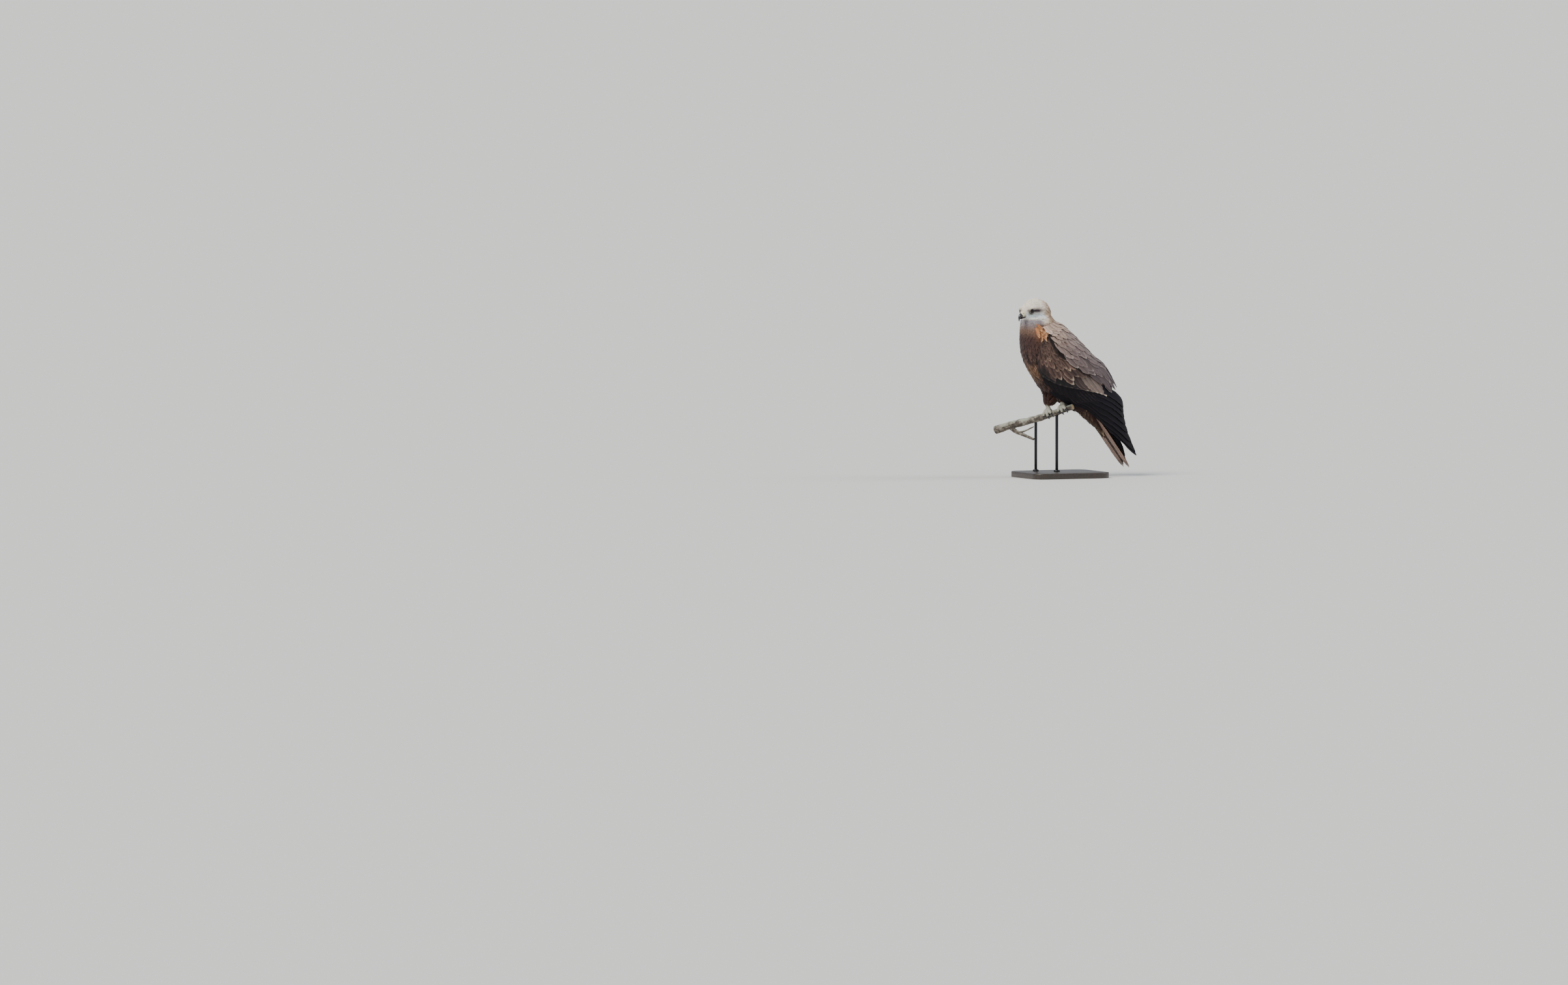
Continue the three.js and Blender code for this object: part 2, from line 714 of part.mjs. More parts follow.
function toes(side) {
  const radius = branchRadius(footAt(side));
  const parts = TOES.map((toe) => {
    const path = toePath(side, toe, toe.from * 0.2, toe.to, () => radius + TOE_OUT, 5);
    const sizes = path.map((_, i) => {
      const pad = TOE_HALF + (i % 2 ? 0.5 : -0.2) - 0.09 * i;
      return [pad, pad];
    });
    return solid(limb(path, sizes, 7, BRANCH_ALONG));
  });
  return joined([footPad(side), ...parts]).subtract(branchBody(GAP));
}

function claw(side, toe) {
  const radius = branchRadius(footAt(side));
  const turn = toe.back ? -1 : 1;
  const from = toe.to + turn * 4;
  const distance = (t) => radius + TOE_OUT + 1.4 * Math.sin(Math.PI * t) - 2 * t;
  const path = toePath(side, toe, from, from + turn * 52, distance, 4);
  const sizes = [[2.8, 2.8], [2.3, 2.3], [1.7, 1.7], [1.1, 1.1], [0.35, 0.35]];
  return solid(limb(path, sizes, 6, BRANCH_ALONG));
}

const footTop = (side) => onBranch(footAt(side), 0, branchRadius(footAt(side)) + 15 + GAP);
const kneeAt = (side) => footTop(side).add(point(side * 2, 2, 20));

function shank(side, grow = 0) {
  const foot = footTop(side);
  const knee = kneeAt(side);
  const path = [foot, foot.clone().lerp(knee, 0.5), knee];
  const bone = solid(limb(path, [[5, 5], [4.4, 4.4], [4.6, 4.6]], 10, point(1, 0, 0), grow));
  return largest(bone.subtract(footPad(side, GAP)).subtract(torsoBody(GAP)));
}

// The thigh feathers hang down behind the shank, so that it leaves them at their front edge
function thigh(side, torsoGrown, shankGrown) {
  const foot = onBranch(footAt(side), 0, branchRadius(footAt(side)) + 17);
  const hip = point(side * 20, 4, 98);
  const middle = point(side * 19, foot.y * 0.55 - 2, 62);
  const end = foot.clone().add(point(0, 10, 1));
  const body = solid(limb(
    [hip, middle, end],
    [[14, 26], [16, 27], [16, 25], [14.5, 19], [11, 13.5]], 12, point(0, -1, 0.2),
  ));
  return largest(
    body.subtract(torsoGrown).subtract(shankGrown).subtract(footPad(side, GAP + 0.1)).subtract(branchBody(GAP + 0.1)),
  );
}

// Branch and stand

function branchBody(grow = 0) {
  const from = -196;
  const to = 54;
  const steps = 10;
  const path = Array.from({ length: steps + 1 }, (_, i) => {
    const along = mix(from, to, i / steps);
    return onBranch(along, 90, 0).addScaledVector(BRANCH_TOP, 1.5 * Math.sin(along / 34));
  });
  const sizes = path.map((_, i) => {
    const radius = branchRadius(mix(from, to, i / steps)) + 0.5 * Math.sin(i * 2.1);
    return [radius, radius * 0.96];
  });
  return solid(limb(path, sizes, 14, point(0, 0, 1), grow));
}

function twig(branchGrown) {
  const start = onBranch(-150, 178, 6);
  const from = (place, along, x, y, z) => (
    place.clone().addScaledVector(BRANCH_ALONG, along).add(point(x, y, z))
  );
  const fork = from(start, 34, 0, 0, -24);
  const main = solid(limb(
    [start, start.clone().lerp(fork, 0.55), fork, from(fork, 42, 0, 0, -26)],
    [[7, 7], [6, 6], [5, 5], [4.4, 4.4], [3.6, 3.6]], 9,
  ));
  const side = solid(limb(
    [from(fork, -12, 0, 0, 6), from(fork, 14, 2, -4, 4), from(fork, 46, 0, -4, 8)],
    [[3.4, 3.4], [3, 3], [2.4, 2.4], [1.6, 1.6]], 8,
  ));
  return largest(joined([main, side]).subtract(branchGrown));
}

function base() {
  const { width, depth, thickness, corner } = BASE_SIZE;
  const [x, y] = [width / 2, depth / 2];
  const outline = new THREE.Shape();
  outline.moveTo(-x + corner, -y);
  outline.lineTo(x - corner, -y);
  outline.absarc(x - corner, -y + corner, corner, -Math.PI / 2, 0);
  outline.lineTo(x, y - corner);
  outline.absarc(x - corner, y - corner, corner, 0, Math.PI / 2);
  outline.lineTo(-x + corner, y);
  outline.absarc(-x + corner, y - corner, corner, Math.PI / 2, Math.PI);
  outline.lineTo(-x, -y + corner);
  outline.absarc(-x + corner, -y + corner, corner, Math.PI, 1.5 * Math.PI);
  return new THREE.ExtrudeGeometry(outline, { depth: thickness, bevelEnabled: false, curveSegments: 6 });
}

function rod(along, branchGrown) {
  const foot = onBranch(along, 0, 0).add(point(0, FEET_BEHIND_BASE_MIDDLE, PERCH_HEIGHT));
  const bottom = BASE_SIZE.thickness + GAP;
  const height = foot.z - bottom;
  const bar = new THREE.CylinderGeometry(ROD_RADIUS, ROD_RADIUS, height, 16);
  bar.rotateX(Math.PI / 2);
  bar.translate(foot.x, foot.y - FEET_BEHIND_BASE_MIDDLE, bottom + height / 2 - PERCH_HEIGHT);
  return largest(solid(bar).subtract(branchGrown));
}

// The materials of the bird and its stand

function finish(color, roughness = 0.9, metalness = 0) {
  return new THREE.MeshStandardMaterial({ color, roughness, metalness });
}

const MATERIALS = {
  crown: finish('#cdbfb0'),
  nape: finish('#a98f7c'),
  breast: finish('#523b35'),
  mantle: finish('#75655d'),
  covert: finish('#56443d'),
  remex: finish('#17151c'),
  tail: finish('#665046'),
  thigh: finish('#4c332b'),
  vent: finish('#503a31'),
  eye: finish('#2a2018', 0.1),
  cere: finish('#e3d9ad', 0.5),
  bill: finish('#23262c', 0.35),
  foot: finish('#b7b18c', 0.6),
  claw: finish('#1e1d1f', 0.35),
  bark: finish('#6f675c'),
  base: finish('#3a342f', 0.55),
  rod: finish('#2f2f31', 0.4, 0.6),
};

// The whole

const part = new THREE.Group();
const bird = new THREE.Group();
bird.position.set(0, FEET_BEHIND_BASE_MIDDLE, PERCH_HEIGHT);
part.add(bird);

function show(parent, name, shape, material) {
  const geometry = shape.isBufferGeometry ? shape : toGeometry(shape);
  const mesh = new THREE.Mesh(geometry, material.clone());
  mesh.name = name;
  parent.add(mesh);
}

const torsoGrown = torsoBody(GAP + 0.1);
const headGrown = skullBody(GAP + 0.1);
const neckGrown = solid(trunk.body(NECK.top, NECK.bottom + 0.002, 5, SIDES, GAP + 0.1));
const branchGrown = branchBody(GAP + 0.1);

show(bird, 'torso', torso(), MATERIALS.breast);
show(bird, 'neck', neck(headGrown), MATERIALS.nape);
show(bird, 'head', head(), MATERIALS.crown);
show(bird, 'cere', cere(), MATERIALS.cere);
show(bird, 'bill_upper', billUpper(), MATERIALS.bill);
show(bird, 'bill_lower', billLower(), MATERIALS.bill);
show(bird, 'tail', tail(torsoGrown), MATERIALS.tail);
show(bird, 'undertail', undertail(torsoGrown), MATERIALS.vent);
[['left', 1], ['right', -1]].forEach(([word, side]) => {
  const armGrown = armBody(side, GAP + 0.1);
  show(bird, `eye_${word}`, eyeBall(side), MATERIALS.eye);
  show(bird, `scapulars_${word}`, scapulars(side, torsoGrown, neckGrown), MATERIALS.mantle);
  show(bird, `coverts_${word}`, coverts(side, torsoGrown, neckGrown), MATERIALS.covert);
  show(bird, `secondaries_${word}`, secondaries(side, armGrown), MATERIALS.remex);
  show(bird, `primaries_${word}`, primaries(side, torsoGrown, armGrown), MATERIALS.remex);
  show(bird, `thigh_${word}`, thigh(side, torsoGrown, shank(side, GAP)), MATERIALS.thigh);
  show(bird, `shank_${word}`, shank(side), MATERIALS.foot);
  show(bird, `foot_${word}`, toes(side), MATERIALS.foot);
  TOES.forEach((toe, k) => show(bird, `claw_${word}_${k + 1}`, claw(side, toe), MATERIALS.claw));
});
show(bird, 'perch_branch', branchBody(), MATERIALS.bark);
show(bird, 'perch_twig', twig(branchGrown), MATERIALS.bark);
show(bird, 'stand_rod_1', rod(2, branchGrown), MATERIALS.rod);
show(bird, 'stand_rod_2', rod(-66, branchGrown), MATERIALS.rod);
show(part, 'stand_base', base(), MATERIALS.base);

export default part;
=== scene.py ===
from math import cos, pi, radians, sin, tan

import bmesh
import bpy
import numpy as np
from mathutils import Matrix, Vector, noise
from mathutils.bvhtree import BVHTree


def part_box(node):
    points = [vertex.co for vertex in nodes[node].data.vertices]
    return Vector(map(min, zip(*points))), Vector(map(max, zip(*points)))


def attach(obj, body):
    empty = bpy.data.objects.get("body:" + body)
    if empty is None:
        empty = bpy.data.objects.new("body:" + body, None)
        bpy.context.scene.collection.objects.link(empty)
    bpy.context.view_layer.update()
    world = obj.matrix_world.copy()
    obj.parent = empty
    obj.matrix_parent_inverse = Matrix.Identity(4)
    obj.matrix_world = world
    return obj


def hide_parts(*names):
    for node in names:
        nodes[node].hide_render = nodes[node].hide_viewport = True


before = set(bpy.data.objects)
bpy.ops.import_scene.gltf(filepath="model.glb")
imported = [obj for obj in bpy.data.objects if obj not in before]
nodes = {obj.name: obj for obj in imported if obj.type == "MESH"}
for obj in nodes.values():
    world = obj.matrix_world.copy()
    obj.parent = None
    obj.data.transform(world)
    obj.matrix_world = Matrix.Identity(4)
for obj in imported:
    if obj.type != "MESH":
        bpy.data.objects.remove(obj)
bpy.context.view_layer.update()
scene = bpy.context.scene

# Camera: the photograph's long lens, a little above the bird and in front of its left side.
# The bird stands right of and above the middle of the frame, as it does there.
MM = 0.001
PERCH = Vector((0, -12, 185)) * MM
VIEW_AZIMUTH = radians(66)
VIEW_ELEVATION = radians(3)
LENS = 500
SENSOR = 36
VIEW_LIMIT = 400
PIXELS_WIDE, PIXEL_MM = 2408, 1.8
FRAME_WIDTH = PIXELS_WIDE * PIXEL_MM * MM
FRAME_SHIFT = Vector((-752.4, -226.4)) * MM

right = Vector((cos(VIEW_AZIMUTH), sin(VIEW_AZIMUTH), 0))
back = Vector((sin(VIEW_AZIMUTH), -cos(VIEW_AZIMUTH), tan(VIEW_ELEVATION))).normalized()
up = back.cross(right)
camera = bpy.data.objects.new("camera", bpy.data.cameras.new("camera"))
camera.data.lens = LENS
camera.data.sensor_width = SENSOR
camera.data.clip_end = VIEW_LIMIT
middle = PERCH + right * FRAME_SHIFT.x + up * FRAME_SHIFT.y
camera.location = middle + back * (FRAME_WIDTH * LENS / SENSOR)
camera.rotation_euler = Matrix((right, up, back)).transposed().to_euler()
scene.collection.objects.link(camera)
scene.camera = camera

# Room: a plain pale floor and soft light from above, brightest from the front left, with a
# weaker cool light from behind that draws the edge of the back and wings
FLOOR_RADIUS = 260
SKY_COLOUR, SKY_STRENGTH = (0.86, 0.92, 1.0, 1), 0.62


def linear(colour):
    share = np.asarray(colour, float) / 255
    return tuple(np.where(share < 0.04045, share / 12.92, ((share + 0.055) / 1.055) ** 2.4))


def material(name, colour, roughness, **sockets):
    made = bpy.data.materials.new(name)
    made.use_nodes = True
    shader = made.node_tree.nodes["Principled BSDF"]
    shader.inputs["Base Color"].default_value = (*linear(colour), 1)
    shader.inputs["Roughness"].default_value = roughness
    for socket, value in sockets.items():
        shader.inputs[socket.replace("_", " ")].default_value = value
    return made


def finish_piece(bm, name, made, smooth=True):
    bmesh.ops.recalc_face_normals(bm, faces=bm.faces)
    mesh = bpy.data.meshes.new(name)
    bm.to_mesh(mesh)
    bm.free()
    mesh.polygons.foreach_set("use_smooth", [smooth] * len(mesh.polygons))
    mesh.materials.append(made)
    piece = bpy.data.objects.new(name, mesh)
    scene.collection.objects.link(piece)
    return piece


def sun(name, towards, strength, spread, colour):
    lamp = bpy.data.objects.new(name, bpy.data.lights.new(name, "SUN"))
    lamp.data.energy = strength
    lamp.data.angle = radians(spread)
    lamp.data.color = colour
    lamp.rotation_euler = (-Vector(towards)).to_track_quat("-Z", "Y").to_euler()
    scene.collection.objects.link(lamp)


bm = bmesh.new()
bmesh.ops.create_circle(bm, cap_ends=True, segments=64, radius=FLOOR_RADIUS)
floor = finish_piece(bm, "floor", material("floor_paint", (214, 212, 208), 0.85), smooth=False)

scene.world = bpy.data.worlds.new("room")
scene.world.use_nodes = True
sky = scene.world.node_tree.nodes["Background"].inputs
sky["Color"].default_value = SKY_COLOUR
sky["Strength"].default_value = SKY_STRENGTH
sun("key_light", (0.25, -0.75, 1.0), 3.1, 26, (1.0, 0.97, 0.92))
sun("back_light", (0.3, 0.9, 0.75), 1.3, 30, (0.93, 0.96, 1.0))

# Display base: a flat board of dark stained and waxed wood with round corners and a softened
# edge. It lies on the floor and carries the two rods.
BASE_CORNER = 34 * MM
BASE_EDGE = 2.2 * MM


def add_node(made, kind, sockets=None, **settings):
    tree = made.node_tree
    node = tree.nodes.new("ShaderNode" + kind)
    for name, value in settings.items():
        setattr(node, name, value)
    for socket, value in (sockets or {}).items():
        if isinstance(value, bpy.types.NodeSocket):
            tree.links.new(value, node.inputs[socket])
        else:
            node.inputs[socket].default_value = value
    return node


def to_shader(made, value, socket="Base Color"):
    tree = made.node_tree
    tree.links.new(value, tree.nodes["Principled BSDF"].inputs[socket])


def add_noise(made, scale, stretch=(1, 1, 1), detail=6, distort=0.0):
    place = add_node(made, "TexCoord").outputs["Object"]
    mapping = add_node(made, "Mapping", {"Scale": stretch, "Vector": place})
    return add_node(made, "TexNoise", {
        "Scale": scale, "Detail": detail, "Distortion": distort,
        "Vector": mapping.outputs["Vector"],
    }).outputs["Fac"]


def add_ramp(made, value, stops):
    ramp = add_node(made, "ValToRGB", {"Fac": value})
    while len(ramp.color_ramp.elements) < len(stops):
        ramp.color_ramp.elements.new(0.5)
    for element, (place, colour) in zip(ramp.color_ramp.elements, stops):
        element.position = place
        element.color = (*linear(colour), 1)
    return ramp.outputs["Color"]


def add_bump(made, value, distance, strength=1.0):
    bump = add_node(made, "Bump", {"Strength": strength, "Distance": distance, "Height": value})
    to_shader(made, bump.outputs["Normal"], "Normal")


def edge_rise(edge):
    return abs(edge.verts[0].co.z - edge.verts[1].co.z)


def soften(bm, edges, width, segments):
    bmesh.ops.bevel(
        bm, geom=edges, offset=width, segments=segments, profile=0.5, affect="EDGES", material=-1,
    )


low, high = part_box("stand_base")
bm = bmesh.new()
bmesh.ops.create_cube(bm, size=1)
bmesh.ops.scale(bm, vec=high - low, verts=bm.verts)
bmesh.ops.translate(bm, vec=(low + high) / 2, verts=bm.verts)
soften(bm, [e for e in bm.edges if edge_rise(e) > BASE_EDGE], BASE_CORNER, 12)
rim = [e for e in bm.edges if edge_rise(e) < BASE_EDGE and not e.is_boundary]
soften(bm, rim, BASE_EDGE, 3)
stained = material("stained_wood", (52, 44, 38), 0.42, Coat_Weight=0.25, Coat_Roughness=0.3)
grain = add_noise(stained, 26, stretch=(1, 12, 12), distort=0.6)
to_shader(stained, add_ramp(stained, grain, [
    (0.3, (34, 27, 23)), (0.55, (58, 47, 39)), (0.75, (43, 35, 30)),
]))
add_bump(stained, grain, 0.0002, 0.5)
base = finish_piece(bm, "display_base", stained)
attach(base, "root")
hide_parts("stand_base")

# Rods: two straight bars of blackened steel that hold the bough from below, each standing in a
# low turned collar on the base
COLLAR_RADIUS = 9 * MM
COLLAR_TOP_RADIUS = COLLAR_RADIUS * 0.82
COLLAR_HEIGHT = 4.5 * MM
ROD_EDGE = 0.5 * MM
blackened = material("blackened_steel", (44, 44, 47), 0.38, Metallic=0.85)
add_bump(blackened, add_noise(blackened, 420, detail=3), 0.00003, 0.6)
for number in (1, 2):
    low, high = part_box(f"stand_rod_{number}")
    centre = (low + high) / 2
    radius = (high.x - low.x) / 2
    collar_place = Vector((centre.x, centre.y, low.z + COLLAR_HEIGHT / 2))
    bm = bmesh.new()
    for bottom, top, height, place in (
        (radius, radius, high.z - low.z, centre),
        (COLLAR_RADIUS, COLLAR_TOP_RADIUS, COLLAR_HEIGHT, collar_place),
    ):
        bmesh.ops.create_cone(
            bm, cap_ends=True, segments=40, radius1=bottom, radius2=top, depth=height,
            matrix=Matrix.Translation(place),
        )
    rims = [e for e in bm.edges if len(e.link_faces) == 2 and e.calc_face_angle() > 1]
    soften(bm, rims, ROD_EDGE, 2)
    rod = finish_piece(bm, f"display_rod_{number}", blackened)
    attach(rod, "root")
    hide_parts(f"stand_rod_{number}")

# Perch: a short cut length of a dead bough, its bark cracked, with lichen and painted highlight on
# top, sawn at both ends, with a forked twig under it. The bird's feet grip it near its upper,
# thinner end.
BRANCH_TURN = radians(38)
BRANCH_RISE = radians(16)
BRANCH_MIDDLE = np.array([0, 0, -4.8])
BRANCH_RADIUS = 9.2
BRANCH_TAPER = 0.014
BRANCH_ENDS = (-196, 54)
BRANCH_ALONG = np.array([
    cos(BRANCH_TURN) * cos(BRANCH_RISE), sin(BRANCH_TURN) * cos(BRANCH_RISE), sin(BRANCH_RISE),
])
BRANCH_ACROSS = np.array([sin(BRANCH_TURN), -cos(BRANCH_TURN), 0])
BRANCH_TOP = np.cross(BRANCH_ACROSS, BRANCH_ALONG)
BARK_DEPTH = 0.9
BARK_KNOTS = ((0.62, 0.018, 2.2, 0.5, 3.2), (0.2, 0.03, 0.9, 0.6, 2.2))
LICHEN_AND_HIGHLIGHT = (164, 165, 150)


def placed(places):
    return (np.asarray(places, float)) * MM + np.array(PERCH)


def curve_at(points, share):
    points = np.asarray(points, float)
    ends = np.vstack([2 * points[0] - points[1], points, 2 * points[-1] - points[-2]])
    reach = np.clip(np.asarray(share, float), 0, 1) * (len(points) - 1)
    first = np.minimum(reach.astype(int), len(points) - 2)
    t = (reach - first)[..., None]
    a, b, c, d = (ends[first + k] for k in range(4))
    square, cube = 2 * a - 5 * b + 4 * c - d, 3 * b - a - 3 * c + d
    return 0.5 * (2 * b + (c - a) * t + square * t**2 + cube * t**3)


def unit(vectors):
    return vectors / np.maximum(np.linalg.norm(vectors, axis=-1, keepdims=True), 1e-9)


def tube(bm, path, sizes, sides, rings, top=(0, 0, 1), relief=None):
    made = bmesh.ops.create_grid(bm, x_segments=sides, y_segments=rings, size=1)["verts"]
    share = np.array([(v.co.y + 1) / 2 for v in made])
    turn = np.array([(v.co.x + 1) * pi for v in made])
    along = unit(curve_at(path, share + 0.002) - curve_at(path, share - 0.002))
    across = unit(np.cross(along, np.asarray(top, float)))
    size = np.maximum(curve_at(sizes, share), 0.05)
    if relief is not None:
        size = size + relief(share, turn)[:, None]
    place = (
        curve_at(path, share) + across * (size[:, :1] * np.cos(turn)[:, None])
        + np.cross(across, along) * (size[:, 1:] * np.sin(turn)[:, None])
    )
    for vertex, at in zip(made, placed(place)):
        vertex.co = at
    bmesh.ops.remove_doubles(bm, verts=made, dist=1e-7)


def close_ends(bm):
    return bmesh.ops.holes_fill(bm, edges=[e for e in bm.edges if e.is_boundary])["faces"]


def on_branch(along, angle, distance):
    turn = np.radians(angle)
    return (
        BRANCH_MIDDLE + np.multiply.outer(along, BRANCH_ALONG)
        + np.multiply.outer(distance * np.cos(turn), BRANCH_TOP)
        + np.multiply.outer(distance * np.sin(turn), BRANCH_ACROSS)
    )


def branch_radius(along):
    return BRANCH_RADIUS - BRANCH_TAPER * along


def bark_relief(share, turn):
    deep = []
    for s, a in zip(share, turn):
        spot = Vector((cos(a) * 1.4, sin(a) * 1.4, s * 9))
        depth = BARK_DEPTH * noise.fractal(spot * 2.2, 0.8, 2.2, 5)
        for place, length, angle, width, height in BARK_KNOTS:
            depth += height * np.exp(-((s - place) / length) ** 2 - ((a - angle) / width) ** 2)
        deep.append(depth)
    return np.array(deep)


def mapped_along(made, centre, axis):
    place = add_node(made, "TexCoord").outputs["Object"]
    turn = Vector(axis).to_track_quat("Z", "Y").to_euler()
    sockets = {"Location": centre, "Rotation": turn, "Vector": place}
    return add_node(made, "Mapping", sockets, vector_type="TEXTURE").outputs["Vector"]


bark = material("bark_lichen_and_highlight", (118, 110, 98), 0.92)
flakes = add_noise(bark, 75, detail=9, distort=0.8)
ground = add_ramp(bark, flakes, [
    (0.28, (52, 46, 41)), (0.46, (92, 84, 75)), (0.6, (132, 124, 112)), (0.78, (165, 160, 148)),
])
# Lichen colour on the upward faces, in patches: partly lichen, partly painted highlight from the
# light above.
facing = add_node(bark, "NewGeometry").outputs["Normal"]
skyward = add_node(bark, "SeparateXYZ", {0: facing}).outputs["Z"]
patches = add_noise(bark, 38, detail=4)
lichen_and_highlight = add_node(bark, "Math", {0: skyward, 1: 0.32, 2: patches}, operation="MULTIPLY_ADD")
lichen_and_highlight_mask = add_node(bark, "MapRange", {"From Min": 0.56, "From Max": 0.78, "Value": lichen_and_highlight.outputs[0]})
blend = add_node(bark, "Mix", {
    "Factor": lichen_and_highlight_mask.outputs[0], "A": ground, "B": (*linear(LICHEN_AND_HIGHLIGHT), 1),
}, data_type="RGBA")
to_shader(bark, blend.outputs["Result"])
add_bump(bark, flakes, 0.0012, 0.9)

sawn = material("sawn_end", (176, 150, 116), 0.8)
rings = add_node(sawn, "TexWave", {
    "Scale": 150, "Distortion": 2.5, "Detail": 3,
    "Vector": mapped_along(sawn, placed(BRANCH_MIDDLE), BRANCH_ALONG),
}, wave_type="RINGS", rings_direction="Z").outputs["Fac"]
to_shader(sawn, add_ramp(sawn, rings, [
    (0.2, (122, 98, 70)), (0.6, (178, 152, 116)), (0.9, (196, 172, 136)),
]))
add_bump(sawn, rings, 0.0002, 0.5)

bm = bmesh.new()
lengths = np.linspace(*BRANCH_ENDS, 13)
line = on_branch(lengths, 0, 1.5 * np.sin(lengths / 34))
girth = branch_radius(lengths) + 0.5 * np.sin(np.arange(len(lengths)) * 2.1) - 0.4
tube(bm, line, np.stack([girth, girth * 0.96], axis=1), 72, 260, relief=bark_relief)
ends = close_ends(bm)
bmesh.ops.inset_region(bm, faces=ends, thickness=0.9 * MM, depth=0.25 * MM)
for face in ends:
    face.material_index = 1
branch = finish_piece(bm, "perch_bough", bark)
branch.data.materials.append(sawn)
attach(branch, "root")
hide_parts("perch_branch")

TWIG_ROOT = on_branch(-150.0, 178, 6)
TWIG_FORK = TWIG_ROOT + 34 * BRANCH_ALONG + [0, 0, -24]


def from_fork(along, x, y, z):
    return TWIG_FORK + along * BRANCH_ALONG + [x, y, z]


def twig_relief(share, turn):
    return np.array([
        0.35 * noise.fractal(Vector((cos(a), sin(a), s * 7)) * 2, 0.8, 2.2, 4)
        + 0.5 * (abs(s * 5 % 1 - 0.5) < 0.06)
        for s, a in zip(share, turn)
    ])


stems = (
    ([TWIG_ROOT + [0, 0, 4], (TWIG_ROOT + TWIG_FORK) / 2 + [0, 0, -1], TWIG_FORK,
      from_fork(42, 0, 0, -26)],
     [[7.2, 7.2], [5.8, 5.8], [4.9, 4.9], [3.5, 3.5]]),
    ([from_fork(-12, 0, 0, 6), from_fork(14, 2, -4, 4), from_fork(46, 0, -4, 8)],
     [[3.4, 3.4], [2.7, 2.7], [1.5, 1.5]]),
)
bm = bmesh.new()
for line, sizes in stems:
    tube(bm, line, sizes, 24, 70, relief=twig_relief)
for face in close_ends(bm):
    face.material_index = 1
twig = finish_piece(bm, "perch_forked_twig", bark)
twig.data.materials.append(sawn)
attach(twig, "root")
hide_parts("perch_twig")

# Feet: bare grey-white skin, scaled on top and padded beneath, gripping the bough with three
# toes in front and one behind. Each foot is fused from its toes, pad and shank.
FOOT_SPACING = 46
FOOT_VOXEL = 0.8 * MM
TOE_HALF = 3.8
TOE_OUT = TOE_HALF + 1.2
TOES = ((-12, 12, 96), (0, 14, 112), (12, 12, 92), (2, -14, -88))
TOE_SWELL = np.array([0.3, 0.1, 0.45, -0.1, 0.35, -0.3, -0.9])
PAD_SIZES = [[7.6, 7.6], [6.6, 6.6], [5.2, 5.2]]
SHANK_SIZES = [[5.6, 5.6], [4.7, 4.9], [4.4, 4.6]]
SHANK_FOOT = 15.3
TALON_SIZES = [[2.9, 3.1], [2.5, 2.8], [2.0, 2.2], [1.4, 1.6], [0.8, 0.9], [0.12, 0.12]]
TALON_ARC = 60


def fused(bm, voxel, rounds):
    rough = finish_piece(bm, "rough", scaled)
    rough.modifiers.new("fuse", "REMESH").voxel_size = voxel
    evaluated = rough.evaluated_get(bpy.context.evaluated_depsgraph_get())
    solid = bpy.data.meshes.new_from_object(evaluated)
    bpy.data.objects.remove(rough)
    bm = bmesh.new()
    bm.from_mesh(solid)
    bpy.data.meshes.remove(solid)
    for _ in range(rounds):
        bmesh.ops.smooth_vert(
            bm, verts=bm.verts, factor=0.5, use_axis_x=True, use_axis_y=True, use_axis_z=True,
        )
    return bm


def foot_at(side):
    return 2 + side * FOOT_SPACING / 2


def shank_root(side):
    return on_branch(foot_at(side), 0, branch_radius(foot_at(side)) + SHANK_FOOT)


def toe_path(side, toe, angles, distance):
    spread, start, end = toe
    share = (angles - start) / (end - start)
    return on_branch(foot_at(side) + spread * (0.35 + 0.65 * share), angles, distance)


def scutes(share, turn):
    over, under = np.clip(np.sin(turn), 0, 1), np.clip(-np.sin(turn), 0, 1)
    plates, pads = np.abs(np.sin(share * 11 * pi)), np.abs(np.sin(share * 3.5 * pi))
    return 0.34 * over * plates + 0.75 * under * pads


scaled = material(
    "scaled_foot", (176, 168, 132), 0.5, Subsurface_Weight=0.08, Subsurface_Scale=0.004,
)
cells = add_node(scaled, "TexVoronoi", {
    "Scale": 620, "Vector": add_node(scaled, "TexCoord").outputs["Object"],
}, feature="DISTANCE_TO_EDGE").outputs["Distance"]
to_shader(scaled, add_ramp(scaled, cells, [
    (0.0, (104, 102, 90)), (0.07, (160, 158, 142)), (0.3, (190, 188, 172)),
]))
add_bump(scaled, cells, 0.0006, 0.8)
horn = material("dark_horn", (30, 29, 32), 0.24, Coat_Weight=0.4, Coat_Roughness=0.15)
streaks = add_noise(horn, 900, detail=3)
to_shader(horn, add_ramp(horn, streaks, [(0.3, (22, 21, 25)), (0.7, (48, 46, 50))]))
add_bump(horn, streaks, 0.00005, 0.5)

